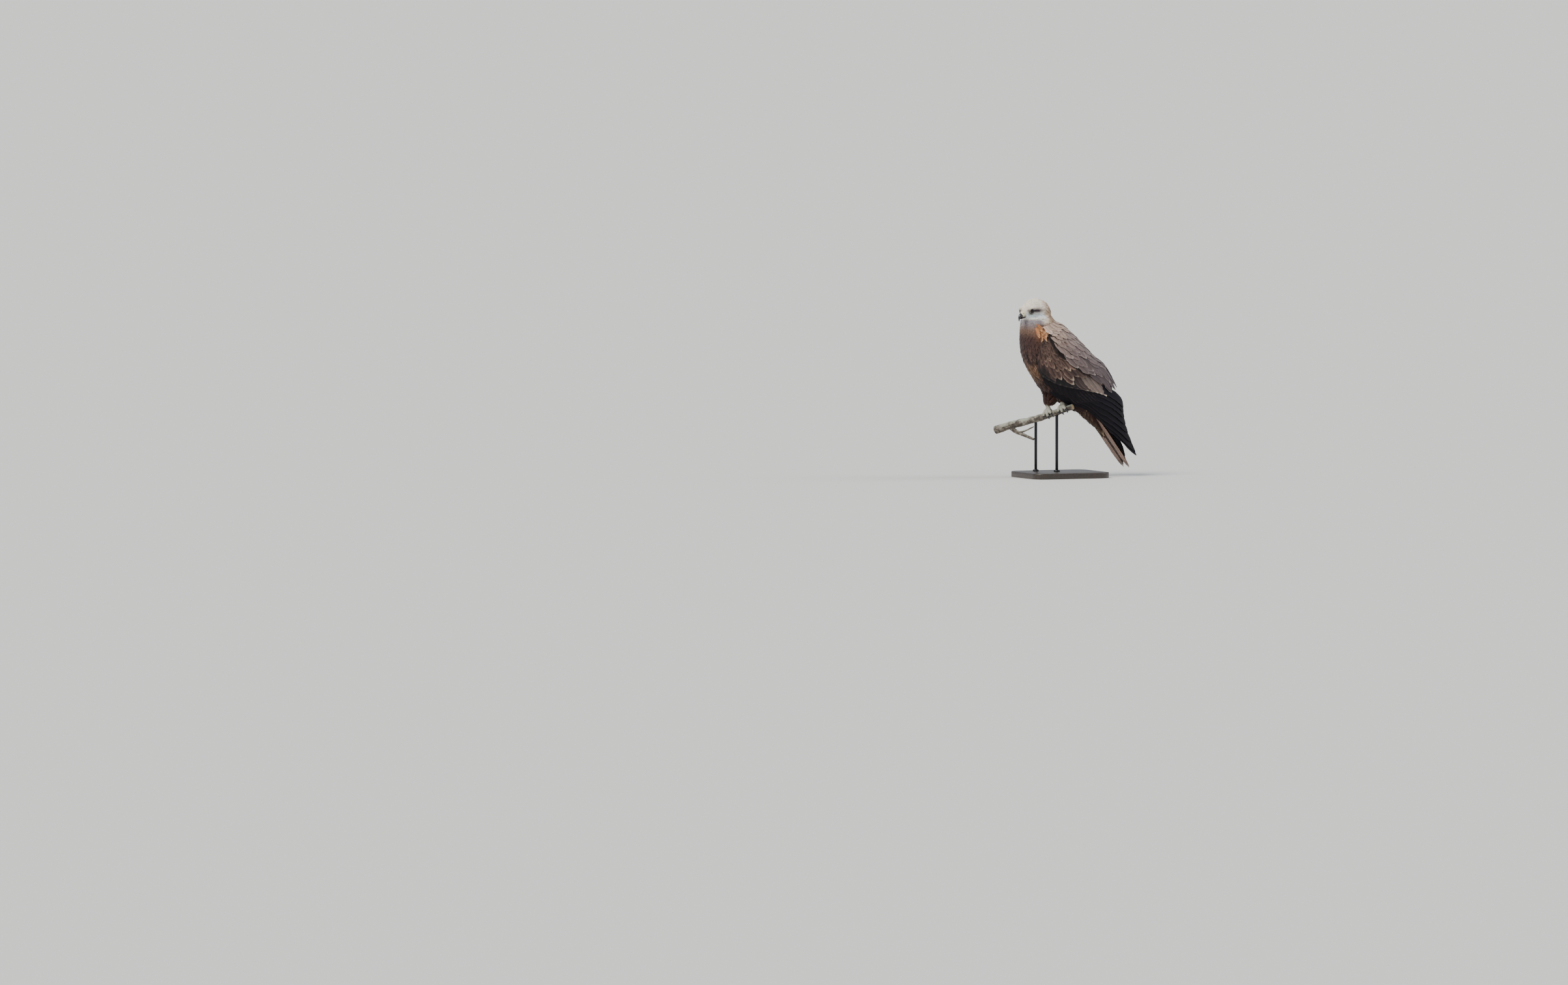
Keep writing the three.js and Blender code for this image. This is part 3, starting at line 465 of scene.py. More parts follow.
for word, side in (("left", 1), ("right", -1)):
    reach = branch_radius(foot_at(side))
    bm = bmesh.new()
    for toe in TOES:
        path = toe_path(side, toe, np.linspace(toe[1] * 0.2, toe[2], 7), reach + TOE_OUT)
        half = TOE_HALF - 0.1 + TOE_SWELL
        sizes = np.stack([half, half * 0.96], axis=1)
        tube(bm, path, sizes, 20, 66, top=BRANCH_ALONG, relief=scutes)
    pad = on_branch(foot_at(side), 0, reach + np.array([2.5, 9, 16]))
    shank = [pad[1], shank_root(side), shank_root(side) + [side * 2, 2, 26]]
    tube(bm, pad, PAD_SIZES, 24, 20, top=(1, 0, 0))
    tube(bm, shank, SHANK_SIZES, 24, 40, top=(1, 0, 0))
    close_ends(bm)
    foot = finish_piece(fused(bm, FOOT_VOXEL, 2), f"foot_skin_{word}", scaled)
    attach(foot, "root")
    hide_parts(f"foot_{word}", f"shank_{word}")
    for number, toe in enumerate(TOES, 1):
        turn = -1 if toe[2] < 0 else 1
        share = np.linspace(0, 1, len(TALON_SIZES))
        distance = reach + TOE_OUT + 1.7 * np.sin(pi * share) - 2.2 * share
        bm = bmesh.new()
        path = toe_path(side, toe, toe[2] + turn * (-4 + TALON_ARC * share), distance)
        tube(bm, path, TALON_SIZES, 20, 30, top=BRANCH_ALONG)
        close_ends(bm)
        talon = finish_piece(bm, f"talon_{word}_{number}", horn)
        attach(talon, "root")
        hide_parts(f"claw_{word}_{number}")

# Skin: one closed body of flesh from the face to the vent, with the arms of the folded wings
# and the thighs on it. It lies under the coat by the depth of the feathers.
CLOAK = np.array([
    [-58, 236, 72, 52, 52, 54], [-40, 206, 60, 66, 62, 70], [-16, 170, 55, 73, 72, 91],
    [12, 134, 50, 73, 78, 98], [42, 96, 47, 68, 84, 94], [74, 60, 46, 61, 92, 78],
    [104, 24, 50, 53, 84, 50], [130, -14, 53, 47, 76, 34], [152, -46, 54, 43, 58, 24],
    [178, -84, 54, 39, 45, 18], [216, -138, 54, 38, 34, 12],
])
WING_LOW = [
    [0.02, -6], [0.1, -34], [0.2, -52], [0.3, -58], [0.4, -58], [0.5, -54], [0.6, -42], [0.7, -20],
]
WING_HIGH = [[0.02, 22], [0.1, 12], [0.2, 4], [0.3, 10], [0.4, 16], [0.55, 30], [0.7, 50]]
ARM_START = 0.035
ARM_LIFT, ARM_EDGE_DROP, ARM_THICK = -0.6, 5, 22
ARM_SHARE, BACK_ANGLE = 0.62, 92
HEAD_TURN = radians(26)
HEAD_PLACE = np.array([12.3, -94.4, 278.4])
EYE_CENTRE = np.array([15.2, -1.6, 0])
EYE_LOOK = unit(np.array([0.93, -0.36, 0.04]))
EYE_RADIUS = 8.5
EYE_OPENING = 37
BROW = np.array([4.5, -1.0, 7.6])
SKIN_VOXEL = 1.7 * MM
COAT_DEPTH = 2.6


def between(first, last, share):
    return first * (1 - share) + last * share


def cloak_at(s, angle, lift, side):
    centre_y, centre_z, slope, width, high, deep = np.moveaxis(curve_at(CLOAK, s), -1, 0)
    slope = np.radians(slope)
    turn = np.radians(angle)
    reach = (np.where(np.sin(turn) > 0, high, deep) + lift) * np.sin(turn)
    return np.stack([
        side * (width + lift) * np.cos(turn),
        centre_y + reach * np.sin(slope),
        centre_z + reach * np.cos(slope),
    ], axis=-1)


def knots_at(knots, s):
    knots = np.array(knots)
    return curve_at(knots[:, 1:], np.interp(s, knots[:, 0], np.linspace(0, 1, len(knots))))[..., 0]


def arm_end(across):
    return 0.2 + 0.33 * np.asarray(across) ** 0.8


def wing_angle(s, across):
    return between(knots_at(WING_LOW, s), knots_at(WING_HIGH, s), across)


def in_head(places):
    x, y, z = np.moveaxis(np.asarray(places, float) - HEAD_PLACE, -1, 0)
    c, s = cos(HEAD_TURN), sin(HEAD_TURN)
    return np.stack([c * x + s * y, c * y - s * x, z], -1)


def from_head(places):
    x, y, z = np.moveaxis(np.asarray(places, float), -1, 0)
    c, s = cos(HEAD_TURN), sin(HEAD_TURN)
    return np.stack([c * x - s * y, c * y + s * x, z], -1) + HEAD_PLACE


def turned(direction):
    return from_head(direction) - HEAD_PLACE


def eye_frame(side):
    mirror = np.array([side, 1, 1])
    return from_head(EYE_CENTRE * mirror), turned(EYE_LOOK * mirror)


def smooth_step(low, high, value):
    share = np.clip((value - low) / (high - low), 0, 1)
    return share * share * (3 - 2 * share)


def near(value, centre, reach):
    return np.exp(-(((value - centre) / reach) ** 2))


# The plumage's colours by place: cream crown, dark mask through the eye, blue-white cheek, grey
# chin, tan nape, an orange patch low on the neck, brown breast and belly, dark brown flanks, thighs
# and vent, painted shade on the flanks and outer thighs where they meet the wing, and deep painted
# shade under the lower edge of the shoulder feathers
CREAM, MASK, CHEEK, CHIN = (246, 233, 214), (54, 40, 46), (224, 231, 234), (150, 142, 146)
NAPE, NECK_BROWN, ORANGE, OCHRE = (196, 166, 138), (118, 92, 78), (176, 116, 72), (116, 84, 56)
BREAST, BELLY, THIGH, VENT = (66, 46, 42), (72, 49, 40), (54, 34, 30), (54, 36, 32)
MANTLE, FLANK_DARK_AND_SHADE, GAP_SHADE = (150, 126, 114), (38, 26, 25), (30, 22, 22)
GAPE_LINE, EYE_RING = (112, 112, 100), (34, 27, 30)
PATCH_MIDDLE = np.array([44, -68, 214])


def blend_to(colours, target, weight):
    return colours + (np.array(linear(target)) - colours) * np.clip(weight, 0, 1)[..., None]


def shoulder_low(s):
    rear, front = 60 * np.maximum(s - 0.3, 0), 27 * np.maximum(0, 1 - s / 0.26)
    return knots_at(WING_HIGH, s) + 4 + rear - front


edge_s = np.linspace(0.0, 0.16, 12)
SHOULDER_EDGE = cloak_at(edge_s, shoulder_low(edge_s) - 9, 0, 1)


def marking(places):
    at = in_head(places)
    across, ahead, height = np.abs(at[..., 0]), at[..., 1], at[..., 2]
    x, y, z = np.moveaxis(np.asarray(places, float), -1, 0)
    aside = smooth_step(5, 12, across)
    cheek = near(height, -13, 9) * smooth_step(-22, -12, ahead) * (1 - smooth_step(28, 40, ahead))
    chin = (1 - smooth_step(-27, -21, height)) * (1 - smooth_step(10, 26, ahead))
    band = near(height, 0.6 + 0.02 * ahead, 5.0 + 2.6 * near(ahead, 14, 12)) * aside
    band = band * smooth_step(-19, -6, ahead) * (1 - smooth_step(14, 44, ahead))
    mouth = near(height, -8, 3.4) * near(ahead, -5, 9) * aside
    eye_gap = np.linalg.norm(np.stack([across, ahead, height], axis=-1) - EYE_CENTRE, axis=-1)
    eye_ring = 1 - smooth_step(8.4, 10.4, eye_gap + 0.08 * (height - 2))
    front = 1 - smooth_step(188, 216, z + 0.12 * y)
    mantle = smooth_step(-40, -10, y - 0.6 * (z - 240)) * smooth_step(160, 200, z)
    patch = near(np.linalg.norm((places - PATCH_MIDDLE) / [16, 17, 21], axis=-1), 0, 0.8)
    # Flanks: dark brown, with painted shade where the folded wing lies on the body. The outer
    # thighs get the same painted shade.
    flank = smooth_step(26, 52, np.abs(x)) * (1 - smooth_step(140, 176, z))
    ochre = near(z, 108, 30) * near(x, 0, 30) * (1 - smooth_step(-20, 30, y))
    thigh_side_shade = smooth_step(16, 34, np.abs(x) + 0.3 * y) * (1 - smooth_step(100, 130, z))
    sided = np.stack([np.abs(x), y, z], axis=-1)
    gap = np.min([np.linalg.norm(sided - at, axis=-1) for at in SHOULDER_EDGE], axis=0)
    colours = np.zeros(x.shape + (3,)) + np.array(linear(CREAM))
    for tone, weight in (
        (NAPE, smooth_step(26, 60, ahead + 0.25 * (20 - height))),
        (CHEEK, cheek),
        (CHIN, chin),
        (MASK, 1.05 * band),
        (GAPE_LINE, 0.8 * mouth),
        (EYE_RING, 0.85 * eye_ring),
        (NECK_BROWN, (1 - smooth_step(-44, -26, height)) * smooth_step(-6, 30, ahead)),
        (NECK_BROWN, 1 - smooth_step(222, 252, z)),
        (BREAST, front * (1 - smooth_step(30, 60, y))),
        (MANTLE, mantle),
        (ORANGE, 0.5 * patch),
        (BELLY, 1 - smooth_step(120, 156, z)),
        (FLANK_DARK_AND_SHADE, flank),
        (OCHRE, 1.1 * ochre),
        (THIGH, 1 - smooth_step(84, 116, z)),
        (FLANK_DARK_AND_SHADE, thigh_side_shade),
        (VENT, (1 - smooth_step(40, 70, z)) * smooth_step(24, 50, y)),
        (GAP_SHADE, 0.95 * near(gap, 0, 8)),
    ):
        colours = blend_to(colours, tone, weight)
    return colours


bm = bmesh.new()
for node in ("torso", "neck", "head", "thigh_left", "thigh_right"):
    bm.from_mesh(nodes[node].data)
bmesh.ops.remove_doubles(bm, verts=bm.verts, dist=1e-6)
for side in (1, -1):
    shell = bmesh.ops.create_grid(bm, x_segments=40, y_segments=36, size=1)["verts"]
    u = np.array([(v.co.x + 1) / 2 for v in shell])
    across = np.array([(v.co.y + 1) / 2 for v in shell])
    wing = np.minimum(across / ARM_SHARE, 1)
    s = ARM_START + 0.02 * (1 - wing) + (arm_end(wing) - ARM_START - 0.02) * u
    over_back = np.clip((across - ARM_SHARE) / (1 - ARM_SHARE), 0, 1)
    angle = wing_angle(s, wing) + (BACK_ANGLE - knots_at(WING_HIGH, s)) * over_back
    edge = np.minimum(7 * u + 0.15, 6 * (1 - u) + 0.15)
    edge = np.minimum(1, np.minimum(6 * across + 0.2, edge))
    top = ARM_LIFT - ARM_EDGE_DROP * (1 - edge)
    for vertex, at in zip(shell, placed(cloak_at(s, angle, top, side))):
        vertex.co = at
    inside = bmesh.ops.duplicate(bm, geom=list({f for v in shell for f in v.link_faces}))["geom"]
    copied = [g for g in inside if isinstance(g, bmesh.types.BMVert)]
    for vertex, at in zip(copied, placed(cloak_at(s, angle, top - ARM_THICK * edge, side))):
        vertex.co = at
    turned_faces = [g for g in inside if isinstance(g, bmesh.types.BMFace)]
    bmesh.ops.reverse_faces(bm, faces=turned_faces)
    rims = {e for v in shell + copied for e in v.link_edges if e.is_boundary}
    bmesh.ops.bridge_loops(bm, edges=list(rims))
for side in (1, -1):
    socket = Matrix.Translation(placed(eye_frame(side)[0]))
    bmesh.ops.create_uvsphere(
        bm, u_segments=24, v_segments=16, radius=(EYE_RADIUS + 1.9) * MM, matrix=socket,
    )
bm = fused(bm, SKIN_VOXEL, 8)
bm.normal_update()


def bird_place(vertices):
    return np.array([v.co for v in vertices]) / MM - np.array(PERCH) / MM


def move_to(vertices, places):
    for vertex, at in zip(vertices, placed(places)):
        vertex.co = at


def angle_from(directions, look):
    return np.degrees(np.arccos(np.clip(unit(directions) @ look, -1, 1)))


def set_tint(mesh, colours):
    values = np.hstack([colours, np.ones((len(colours), 1))]).astype(np.float32)
    shade = mesh.color_attributes.new("tint", "FLOAT_COLOR", "POINT")
    shade.data.foreach_set("color", values.ravel())


def tint_of(made):
    return add_node(made, "Attribute", attribute_name="tint").outputs["Color"]


skin_places = bird_place(bm.verts)
face = 1 - smooth_step(14, 34, np.linalg.norm(in_head(skin_places), axis=-1))
skin_places -= np.array([v.normal for v in bm.verts]) * (COAT_DEPTH - 1.6 * face)[:, None]
for side in (1, -1):
    centre, look = eye_frame(side)
    out = skin_places - centre
    reach = np.linalg.norm(out, axis=1)
    aside = angle_from(out, look)
    close = (reach < 16) & (aside < 80)
    opened = EYE_RADIUS - 1.6 + 2.5 * smooth_step(EYE_OPENING - 4, EYE_OPENING + 2, aside)
    share = 1 - smooth_step(EYE_OPENING + 6, EYE_OPENING + 24, aside)
    target = reach + (opened - reach) * share
    skin_places[close] = (centre + unit(out) * target[:, None])[close]
    brow = from_head((EYE_CENTRE + BROW) * [side, 1, 1])
    from_brow = np.linalg.norm((skin_places - brow) * [1, 0.8, 1.3], axis=1)
    bulge = near(from_brow, 0, 6.5) * (aside > EYE_OPENING)
    skin_places += look * 2.6 * bulge[:, None]
move_to(bm.verts, skin_places)
skin_paint = material("skin_under_feathers", (120, 96, 84), 0.85)
to_shader(skin_paint, tint_of(skin_paint))
add_bump(skin_paint, add_noise(skin_paint, 600, detail=3), 0.0004, 0.6)
skin = finish_piece(bm, "skin", skin_paint)
skin_places = bird_place(skin.data.vertices)
# The skin carries the plumage's markings at seven tenths their brightness: painted shade for where
# it shows between the feathers.
set_tint(skin.data, marking(skin_places) * 0.7)
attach(skin, "root")
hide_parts("torso", "neck", "head", "thigh_left", "thigh_right")

# Eyes: glassy balls with a dark brown ring round a large pupil, deep under the brow, each in a
# rim of bare dark grey lid
IRIS_HALF = 5.4
PUPIL_HALF = 3.0
LID_WIDE, LID_HIGH, LID_LIFT = 6.0, 4.8, 0.25
eye_glass = material("eye_glass", (38, 24, 14), 0.05, IOR=1.33)
lid_skin = material("lid_skin", (40, 36, 38), 0.6, Specular_IOR_Level=0.25)
add_bump(lid_skin, add_noise(lid_skin, 1500, detail=3), 0.00012, 0.6)


def radial_colour(made, centre, look, stops):
    split = add_node(made, "SeparateXYZ", {0: mapped_along(made, centre, look)}).outputs
    flat = add_node(made, "CombineXYZ", {"X": split["X"], "Y": split["Y"]}).outputs[0]
    reach = add_node(made, "VectorMath", {0: flat}, operation="LENGTH").outputs["Value"]
    scale = add_node(made, "Math", {0: reach, 1: 0.1 / MM}, operation="MULTIPLY")
    to_shader(made, add_ramp(made, scale.outputs[0], stops))


for word, side in (("left", 1), ("right", -1)):
    centre, look = eye_frame(side)
    glass = eye_glass.copy()
    radial_colour(glass, placed(centre), look, [
        (0.0, (6, 5, 5)), (PUPIL_HALF * 0.1 - 0.02, (7, 5, 5)),
        (PUPIL_HALF * 0.1 + 0.02, (58, 38, 24)), (IRIS_HALF * 0.1 - 0.06, (44, 28, 18)),
        (IRIS_HALF * 0.1, (14, 11, 11)),
    ])
    turn = Vector(look).to_track_quat("Z", "Y").to_matrix()
    bm = bmesh.new()
    bmesh.ops.create_uvsphere(bm, u_segments=48, v_segments=32, radius=EYE_RADIUS * MM)
    bmesh.ops.rotate(bm, verts=bm.verts, matrix=turn)
    bmesh.ops.translate(bm, verts=bm.verts, vec=placed(centre))
    eye = finish_piece(bm, f"eye_ball_{word}", glass)
    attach(eye, "root")
    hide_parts(f"eye_{word}")

    frame_x = unit(np.cross([0, 0, 1], look))
    frame_y = np.cross(look, frame_x)
    turns = np.linspace(0, 2 * pi, 25)
    wide, high = np.cos(turns), np.sin(turns)
    slant = 0.1 * side * wide * LID_WIDE * np.clip(high * 2, 0, 1)
    opening = np.stack([LID_WIDE * wide, LID_HIGH * high - 0.35 + 0.3 * wide**2 + slant], axis=1)
    depth = np.sqrt((EYE_RADIUS + LID_LIFT) ** 2 - np.sum(opening**2, axis=1))
    rim = centre + opening[:, :1] * frame_x + opening[:, 1:] * frame_y + depth[:, None] * look
    thick = 1.15 + 1.0 * np.clip(high, 0, 1) + 0.1 * np.clip(-high, 0, 1) ** 2
    bm = bmesh.new()
    tube(bm, rim, np.stack([thick, 0.7 + 0 * thick], axis=1), 14, 96, top=look)
    bmesh.ops.remove_doubles(bm, verts=bm.verts, dist=0.05 * MM)
    lid = finish_piece(bm, f"eye_lids_{word}", lid_skin)
    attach(lid, "root")

# Bill: black horn bending down to a sharp hook, over a shorter lower half, with a waxy ivory
# cere at its base where the nostrils open, and pale skin at the corner of the mouth
BILL_LINE = np.array([
    [0, -14.0, -7.9], [0, -20.5, -9.6], [0, -25.4, -11.4], [0, -29.9, -14.3], [0, -33.0, -18.6],
    [0, -34.5, -23], [0, -34.6, -28.6],
])
BILL_SIZES = [[5.0, 5.8], [5.5, 6.2], [5.9, 6.5], [4.7, 5.1], [3.3, 3.8], [2.0, 2.3], [0.7, 0.8]]
JAW_LINE = np.array([[0, -13.0, -16.6], [0, -19.5, -18.2], [0, -25.5, -20.2], [0, -29.6, -21.2]])
JAW_SIZES = [[6.2, 3.2], [5.4, 2.8], [3.9, 2.1], [1.2, 0.6]]
CERE_LINE = np.array([[0, -12.0, -7.2], [0, -17.0, -8.3], [0, -21.6, -9.8], [0, -25.4, -11.4]])
CERE_SIZES = [[7.6, 8.6], [7.4, 8.3], [6.9, 7.7], [5.9, 6.6]]
CERE_HEART = np.array([0, -20.5, -9.0])
CERE_COLOUR = (226, 216, 182)
NOSTRIL, NOSTRIL_DEPTH = np.array([5.6, -21.6, -6.6]), 0.9
MOUTH_CORNER = np.array([
    [5.2, -22.5, -15.4], [6.4, -17.5, -14.8], [8.6, -12.5, -14.6], [10.6, -7.5, -15.4],
])
CORNER_SIZES = [[0.5, 0.5], [0.6, 0.6], [0.6, 0.5], [0.3, 0.3]]


def closed_tube(line, sizes, sides, rings):
    bm = bmesh.new()
    tube(bm, from_head(line), sizes, sides, rings, top=turned(np.array([0, -0.7, 0.7])))
    close_ends(bm)
    return bm


def narrow_ridge(bm, narrow):
    middle = placed(from_head(BILL_LINE))
    head_right = turned(np.array([1.0, 0, 0]))
    for vertex in bm.verts:
        nearest = middle[np.argmin(np.linalg.norm(middle - np.array(vertex.co), axis=1))]
        above = (vertex.co.z - nearest[2]) / MM * (nearest[2] > middle[3][2])
        squeeze = narrow * float(np.clip(above / 6, 0, 1)) ** 1.3
        out = (np.array(vertex.co) - nearest) @ head_right
        vertex.co = Vector(np.array(vertex.co) - head_right * out * squeeze)


bm = closed_tube(BILL_LINE, BILL_SIZES, 36, 60)
narrow_ridge(bm, 0.42)
bill = finish_piece(bm, "bill_hooked", horn)
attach(bill, "root")
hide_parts("bill_upper")
jaw = finish_piece(closed_tube(JAW_LINE, JAW_SIZES, 28, 36), "bill_under", horn)
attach(jaw, "root")
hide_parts("bill_lower")

wax = material("waxy_cere", CERE_COLOUR, 0.42)
to_shader(wax, tint_of(wax))
add_bump(wax, add_noise(wax, 700, detail=4), 0.00015, 0.7)
bm = closed_tube(CERE_LINE, CERE_SIZES, 64, 60)
narrow_ridge(bm, 0.36)
cere_places = bird_place(bm.verts)
at = in_head(cere_places)
at[:, 0] = np.abs(at[:, 0])
pit = near(np.linalg.norm((at - NOSTRIL) * [0.5, 0.55, 1], axis=1), 0, 1.0)[:, None]
inward = unit(from_head(CERE_HEART) - cere_places)
move_to(bm.verts, cere_places + inward * pit * NOSTRIL_DEPTH)
cere = finish_piece(bm, "cere_skin", wax)
# The wax colour goes almost to black in the nostril pits: painted shade for their depth.
set_tint(cere.data, np.array(linear(CERE_COLOUR)) * (1 - 0.97 * pit**0.7))
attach(cere, "root")
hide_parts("cere")
bm = bmesh.new()
for side in (1, -1):
    tube(bm, from_head(MOUTH_CORNER * [side, 1, 1]), CORNER_SIZES, 12, 24)
close_ends(bm)
gape = finish_piece(bm, "mouth_corners", material("mouth_skin", (150, 146, 132), 0.5))
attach(gape, "root")

# Feathers: each is a thin closed vane with a raised shaft, softer and more ragged the smaller it
# is. A tract of them is one mesh. Its colour is laid down along and across each vane.
VANE_HALF_THICK = 0.11
PATCH = 0.003
UNWRAP_LENGTH = 700
chance = np.random.default_rng(7)
tracts = []


def unwrap(places):
    down = (places[:, 1] - 0.9 * places[:, 2] + 420) / UNWRAP_LENGTH
    axis_y = np.interp(places[:, 2], CLOAK[::-1, 1], CLOAK[::-1, 0])
    ahead = 0.8 * (places[:, 1] - axis_y) + 12
    round_body = np.arctan2(places[:, 0], ahead) / (2 * pi) + 0.5
    return np.stack([round_body, np.clip(down, 0.002, 0.998)], axis=1)


def vane_points(path, across, out, half, edge, rag, droop, shaft, fray):
    count, rows = half.shape
    columns = edge.shape[1]
    share = np.linspace(-1, 1, columns)
    wide = half[:, :, None] * share
    wide[:, :, [0, -1]] *= 1 + fray * chance.standard_normal((count, rows, 2))
    tip = np.zeros((count, rows, columns))
    tip[:, -1] = chance.uniform(-0.2, 1, (count, columns)) * rag
    tip[:, -2] = chance.uniform(-0.1, 0.5, (count, columns)) * rag
    forward = unit(np.gradient(path, axis=1))
    sag = droop * (wide**2) / np.maximum(half[:, :, None], 0.3)
    sag = sag + rag * 0.05 * chance.uniform(-1, 1, wide.shape)
    middle = (
        path[:, :, None] + across[:, :, None] * wide[..., None]
        - out[:, :, None] * sag[..., None] + forward[:, :, None] * tip[..., None]
    )
    ridge = shaft * near(share, 0, 0.22) * np.linspace(1, 0.3, rows)[:, None]
    lift = np.where(edge, 0, VANE_HALF_THICK + ridge)
    top = middle + out[:, :, None] * lift[None, :, :, None]
    below = middle - out[:, :, None] * (lift * 0.7)[None, :, :, None]
    outward = np.sum(np.cross(across, forward) * out) >= 0
    inner = ~edge.ravel()
    below = below.reshape(count, -1, 3)[:, inner]
    return np.concatenate([top.reshape(count, -1, 3), below], axis=1), outward


def vane_faces(edge):
    rows, columns = edge.shape
    inner = ~edge.ravel()
    upper = np.arange(rows * columns).reshape(rows, columns)
    lower = upper.copy().ravel()
    lower[inner] = rows * columns + np.arange(inner.sum())
    top, under = (
        np.stack([g[:-1, :-1], g[:-1, 1:], g[1:, 1:], g[1:, :-1]], axis=-1).reshape(-1, 4)
        for g in (upper, lower.reshape(rows, columns))
    )
    return np.concatenate([top, under[:, ::-1]])


def vanes(name, path, across, out, half, colours, slot, paint, rag=0.0, droop=0.08, shaft=0.12,
          replaced=(), under=None, fray=0.05):
    count, rows, columns = colours.shape[:3]
    edge = np.zeros((rows, columns), bool)
    edge[0] = edge[-1] = edge[:, 0] = edge[:, -1] = True
    inner = ~edge.ravel()
    points, outward = vane_points(path, across, out, half, edge, rag, droop, shaft, fray)
    each = points.shape[1]
    starts = (np.arange(count) * each)[:, None, None]
    faces = (vane_faces(edge)[None] + starts).reshape(-1, 4)
    if not outward:
        faces = faces[:, ::-1]
    mesh = bpy.data.meshes.new(name)
    mesh.vertices.add(count * each)
    mesh.vertices.foreach_set("co", placed(points.reshape(-1, 3)).astype(np.float32).ravel())
    mesh.loops.add(faces.size)
    mesh.loops.foreach_set("vertex_index", faces.ravel().astype(np.int32))
    mesh.polygons.add(len(faces))
    mesh.polygons.foreach_set("loop_start", np.arange(0, faces.size, 4, dtype=np.int32))
    mesh.polygons.foreach_set("use_smooth", np.ones(len(faces), bool))
    mesh.update(calc_edges=True)
    ends = np.empty(len(mesh.edges) * 2, np.int32)
    mesh.edges.foreach_get("vertices", ends)
    rim = np.concatenate([edge.ravel(), np.zeros(inner.sum(), bool)])
    sharp = rim[ends.reshape(-1, 2) % each].all(axis=1)
    mesh.attributes.new("sharp_edge", "BOOLEAN", "EDGE").data.foreach_set("value", sharp)
    tone = colours.reshape(count, -1, 3)
    beneath = tone * 0.8 if under is None else under.reshape(count, -1, 3)
    set_tint(mesh, np.concatenate([tone, beneath[:, inner]], axis=1).reshape(-1, 3))
    grid = np.meshgrid(np.linspace(0, 1, columns), np.linspace(0, 1, rows))
    grid = np.stack(grid, axis=-1).reshape(-1, 2)
    local = np.concatenate([grid, grid[inner]])
    root = unwrap(path[:, 0])[:, None] + PATCH * (local[None] - 0.5)
    for layer, values in (("OFBake", root.reshape(-1, 2)), ("vane", np.tile(local, (count, 1)))):
        values = values[faces.ravel()].astype(np.float32)
        mesh.uv_layers.new(name=layer).data.foreach_set("uv", values.ravel())
    mesh.materials.append(paint)
    piece = bpy.data.objects.new(name, mesh)
    scene.collection.objects.link(piece)
    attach(piece, "root")
    if replaced:
        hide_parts(*replaced)
    tracts.append(piece)


def feather_paint(name, roughness, barb_scale, sheen, contrast, specular=0.3):
    made = material(
        name, (110, 90, 80), roughness, Sheen_Weight=sheen, Sheen_Roughness=0.4,
        Specular_IOR_Level=specular,
    )
    place = add_node(made, "UVMap", uv_map="vane").outputs["UV"]
    split = add_node(made, "SeparateXYZ", {0: place}).outputs
    out = add_node(made, "Math", {0: split["X"], 1: 0.5}, operation="SUBTRACT").outputs[0]
    apart = add_node(made, "Math", {0: out}, operation="ABSOLUTE").outputs[0]
    slant = add_node(
        made, "Math", {0: apart, 1: -0.55, 2: split["Y"]}, operation="MULTIPLY_ADD",
    ).outputs[0]
    barbs = add_node(made, "CombineXYZ", {"X": slant}).outputs[0]
    wave = add_node(made, "TexWave", {"Scale": barb_scale, "Distortion": 0.6, "Vector": barbs})
    speck = add_node(made, "MapRange", {
        "To Min": 1 - contrast, "To Max": 1 + contrast, "Value": add_noise(made, 260, detail=5),
    }).outputs[0]
    thread = add_node(made, "MapRange", {
        "To Min": 1 - contrast * 0.6, "To Max": 1 + contrast * 0.3, "Value": wave.outputs["Fac"],
    }).outputs[0]
    both = add_node(made, "Math", {0: speck, 1: thread}, operation="MULTIPLY").outputs[0]
    shaded = add_node(made, "VectorMath", {0: tint_of(made), "Scale": both}, operation="SCALE")
    to_shader(made, shaded.outputs[0])
    add_bump(made, wave.outputs["Fac"], 0.00012, 0.5)
    return made


soft_plumage = feather_paint("soft_plumage", 0.85, 7, 0.12, 0.3)
sleek_plumage = feather_paint("sleek_plumage", 0.7, 18, 0.1, 0.26)
dark_plumage = feather_paint("dark_plumage", 0.62, 30, 0.0, 0.25, specular=0.16)


def shares(outline, rows):
    outline = np.array(outline)
    return np.interp(np.linspace(0, 1, rows), outline[:, 0], outline[:, 1])


def vane_frame(path, out):
    along = unit(np.gradient(path, axis=1))
    across = unit(np.cross(along, out))
    return across, np.cross(across, along)


def varied(colour, count, spread=0.06):
    return np.array(linear(colour)) * (1 + spread * chance.standard_normal((count, 1)))


def vane_colours(base, tip, edge, rows, columns, tip_from=0.8, edge_from=0.7, dark_shaft=0.25,
                 bright=1.0):
    count = len(base)
    bright = np.asarray(bright, float).reshape(-1, 1, 1, 1)
    t = np.linspace(0, 1, rows)[None, :, None]
    x = np.abs(np.linspace(-1, 1, columns))[None, None, :]
    to_tip = smooth_step(tip_from, 1.0, t + 0 * x)[..., None]
    to_edge = smooth_step(edge_from, 1.02, x + 0 * t) * smooth_step(0.15, 0.5, t + 0 * x)
    colours = np.broadcast_to(base[:, None, None], (count, rows, columns, 3)).copy()
    colours += (edge[:, None, None] - colours) * to_edge[..., None] * bright
    colours += (tip[:, None, None] - colours) * to_tip * bright
    colours *= 1 - dark_shaft * near(x, 0, 0.2)[..., None] * (1 - 0.6 * to_tip)
    return colours * (1 + 0.07 * chance.standard_normal((count, 1, 1, 1)))


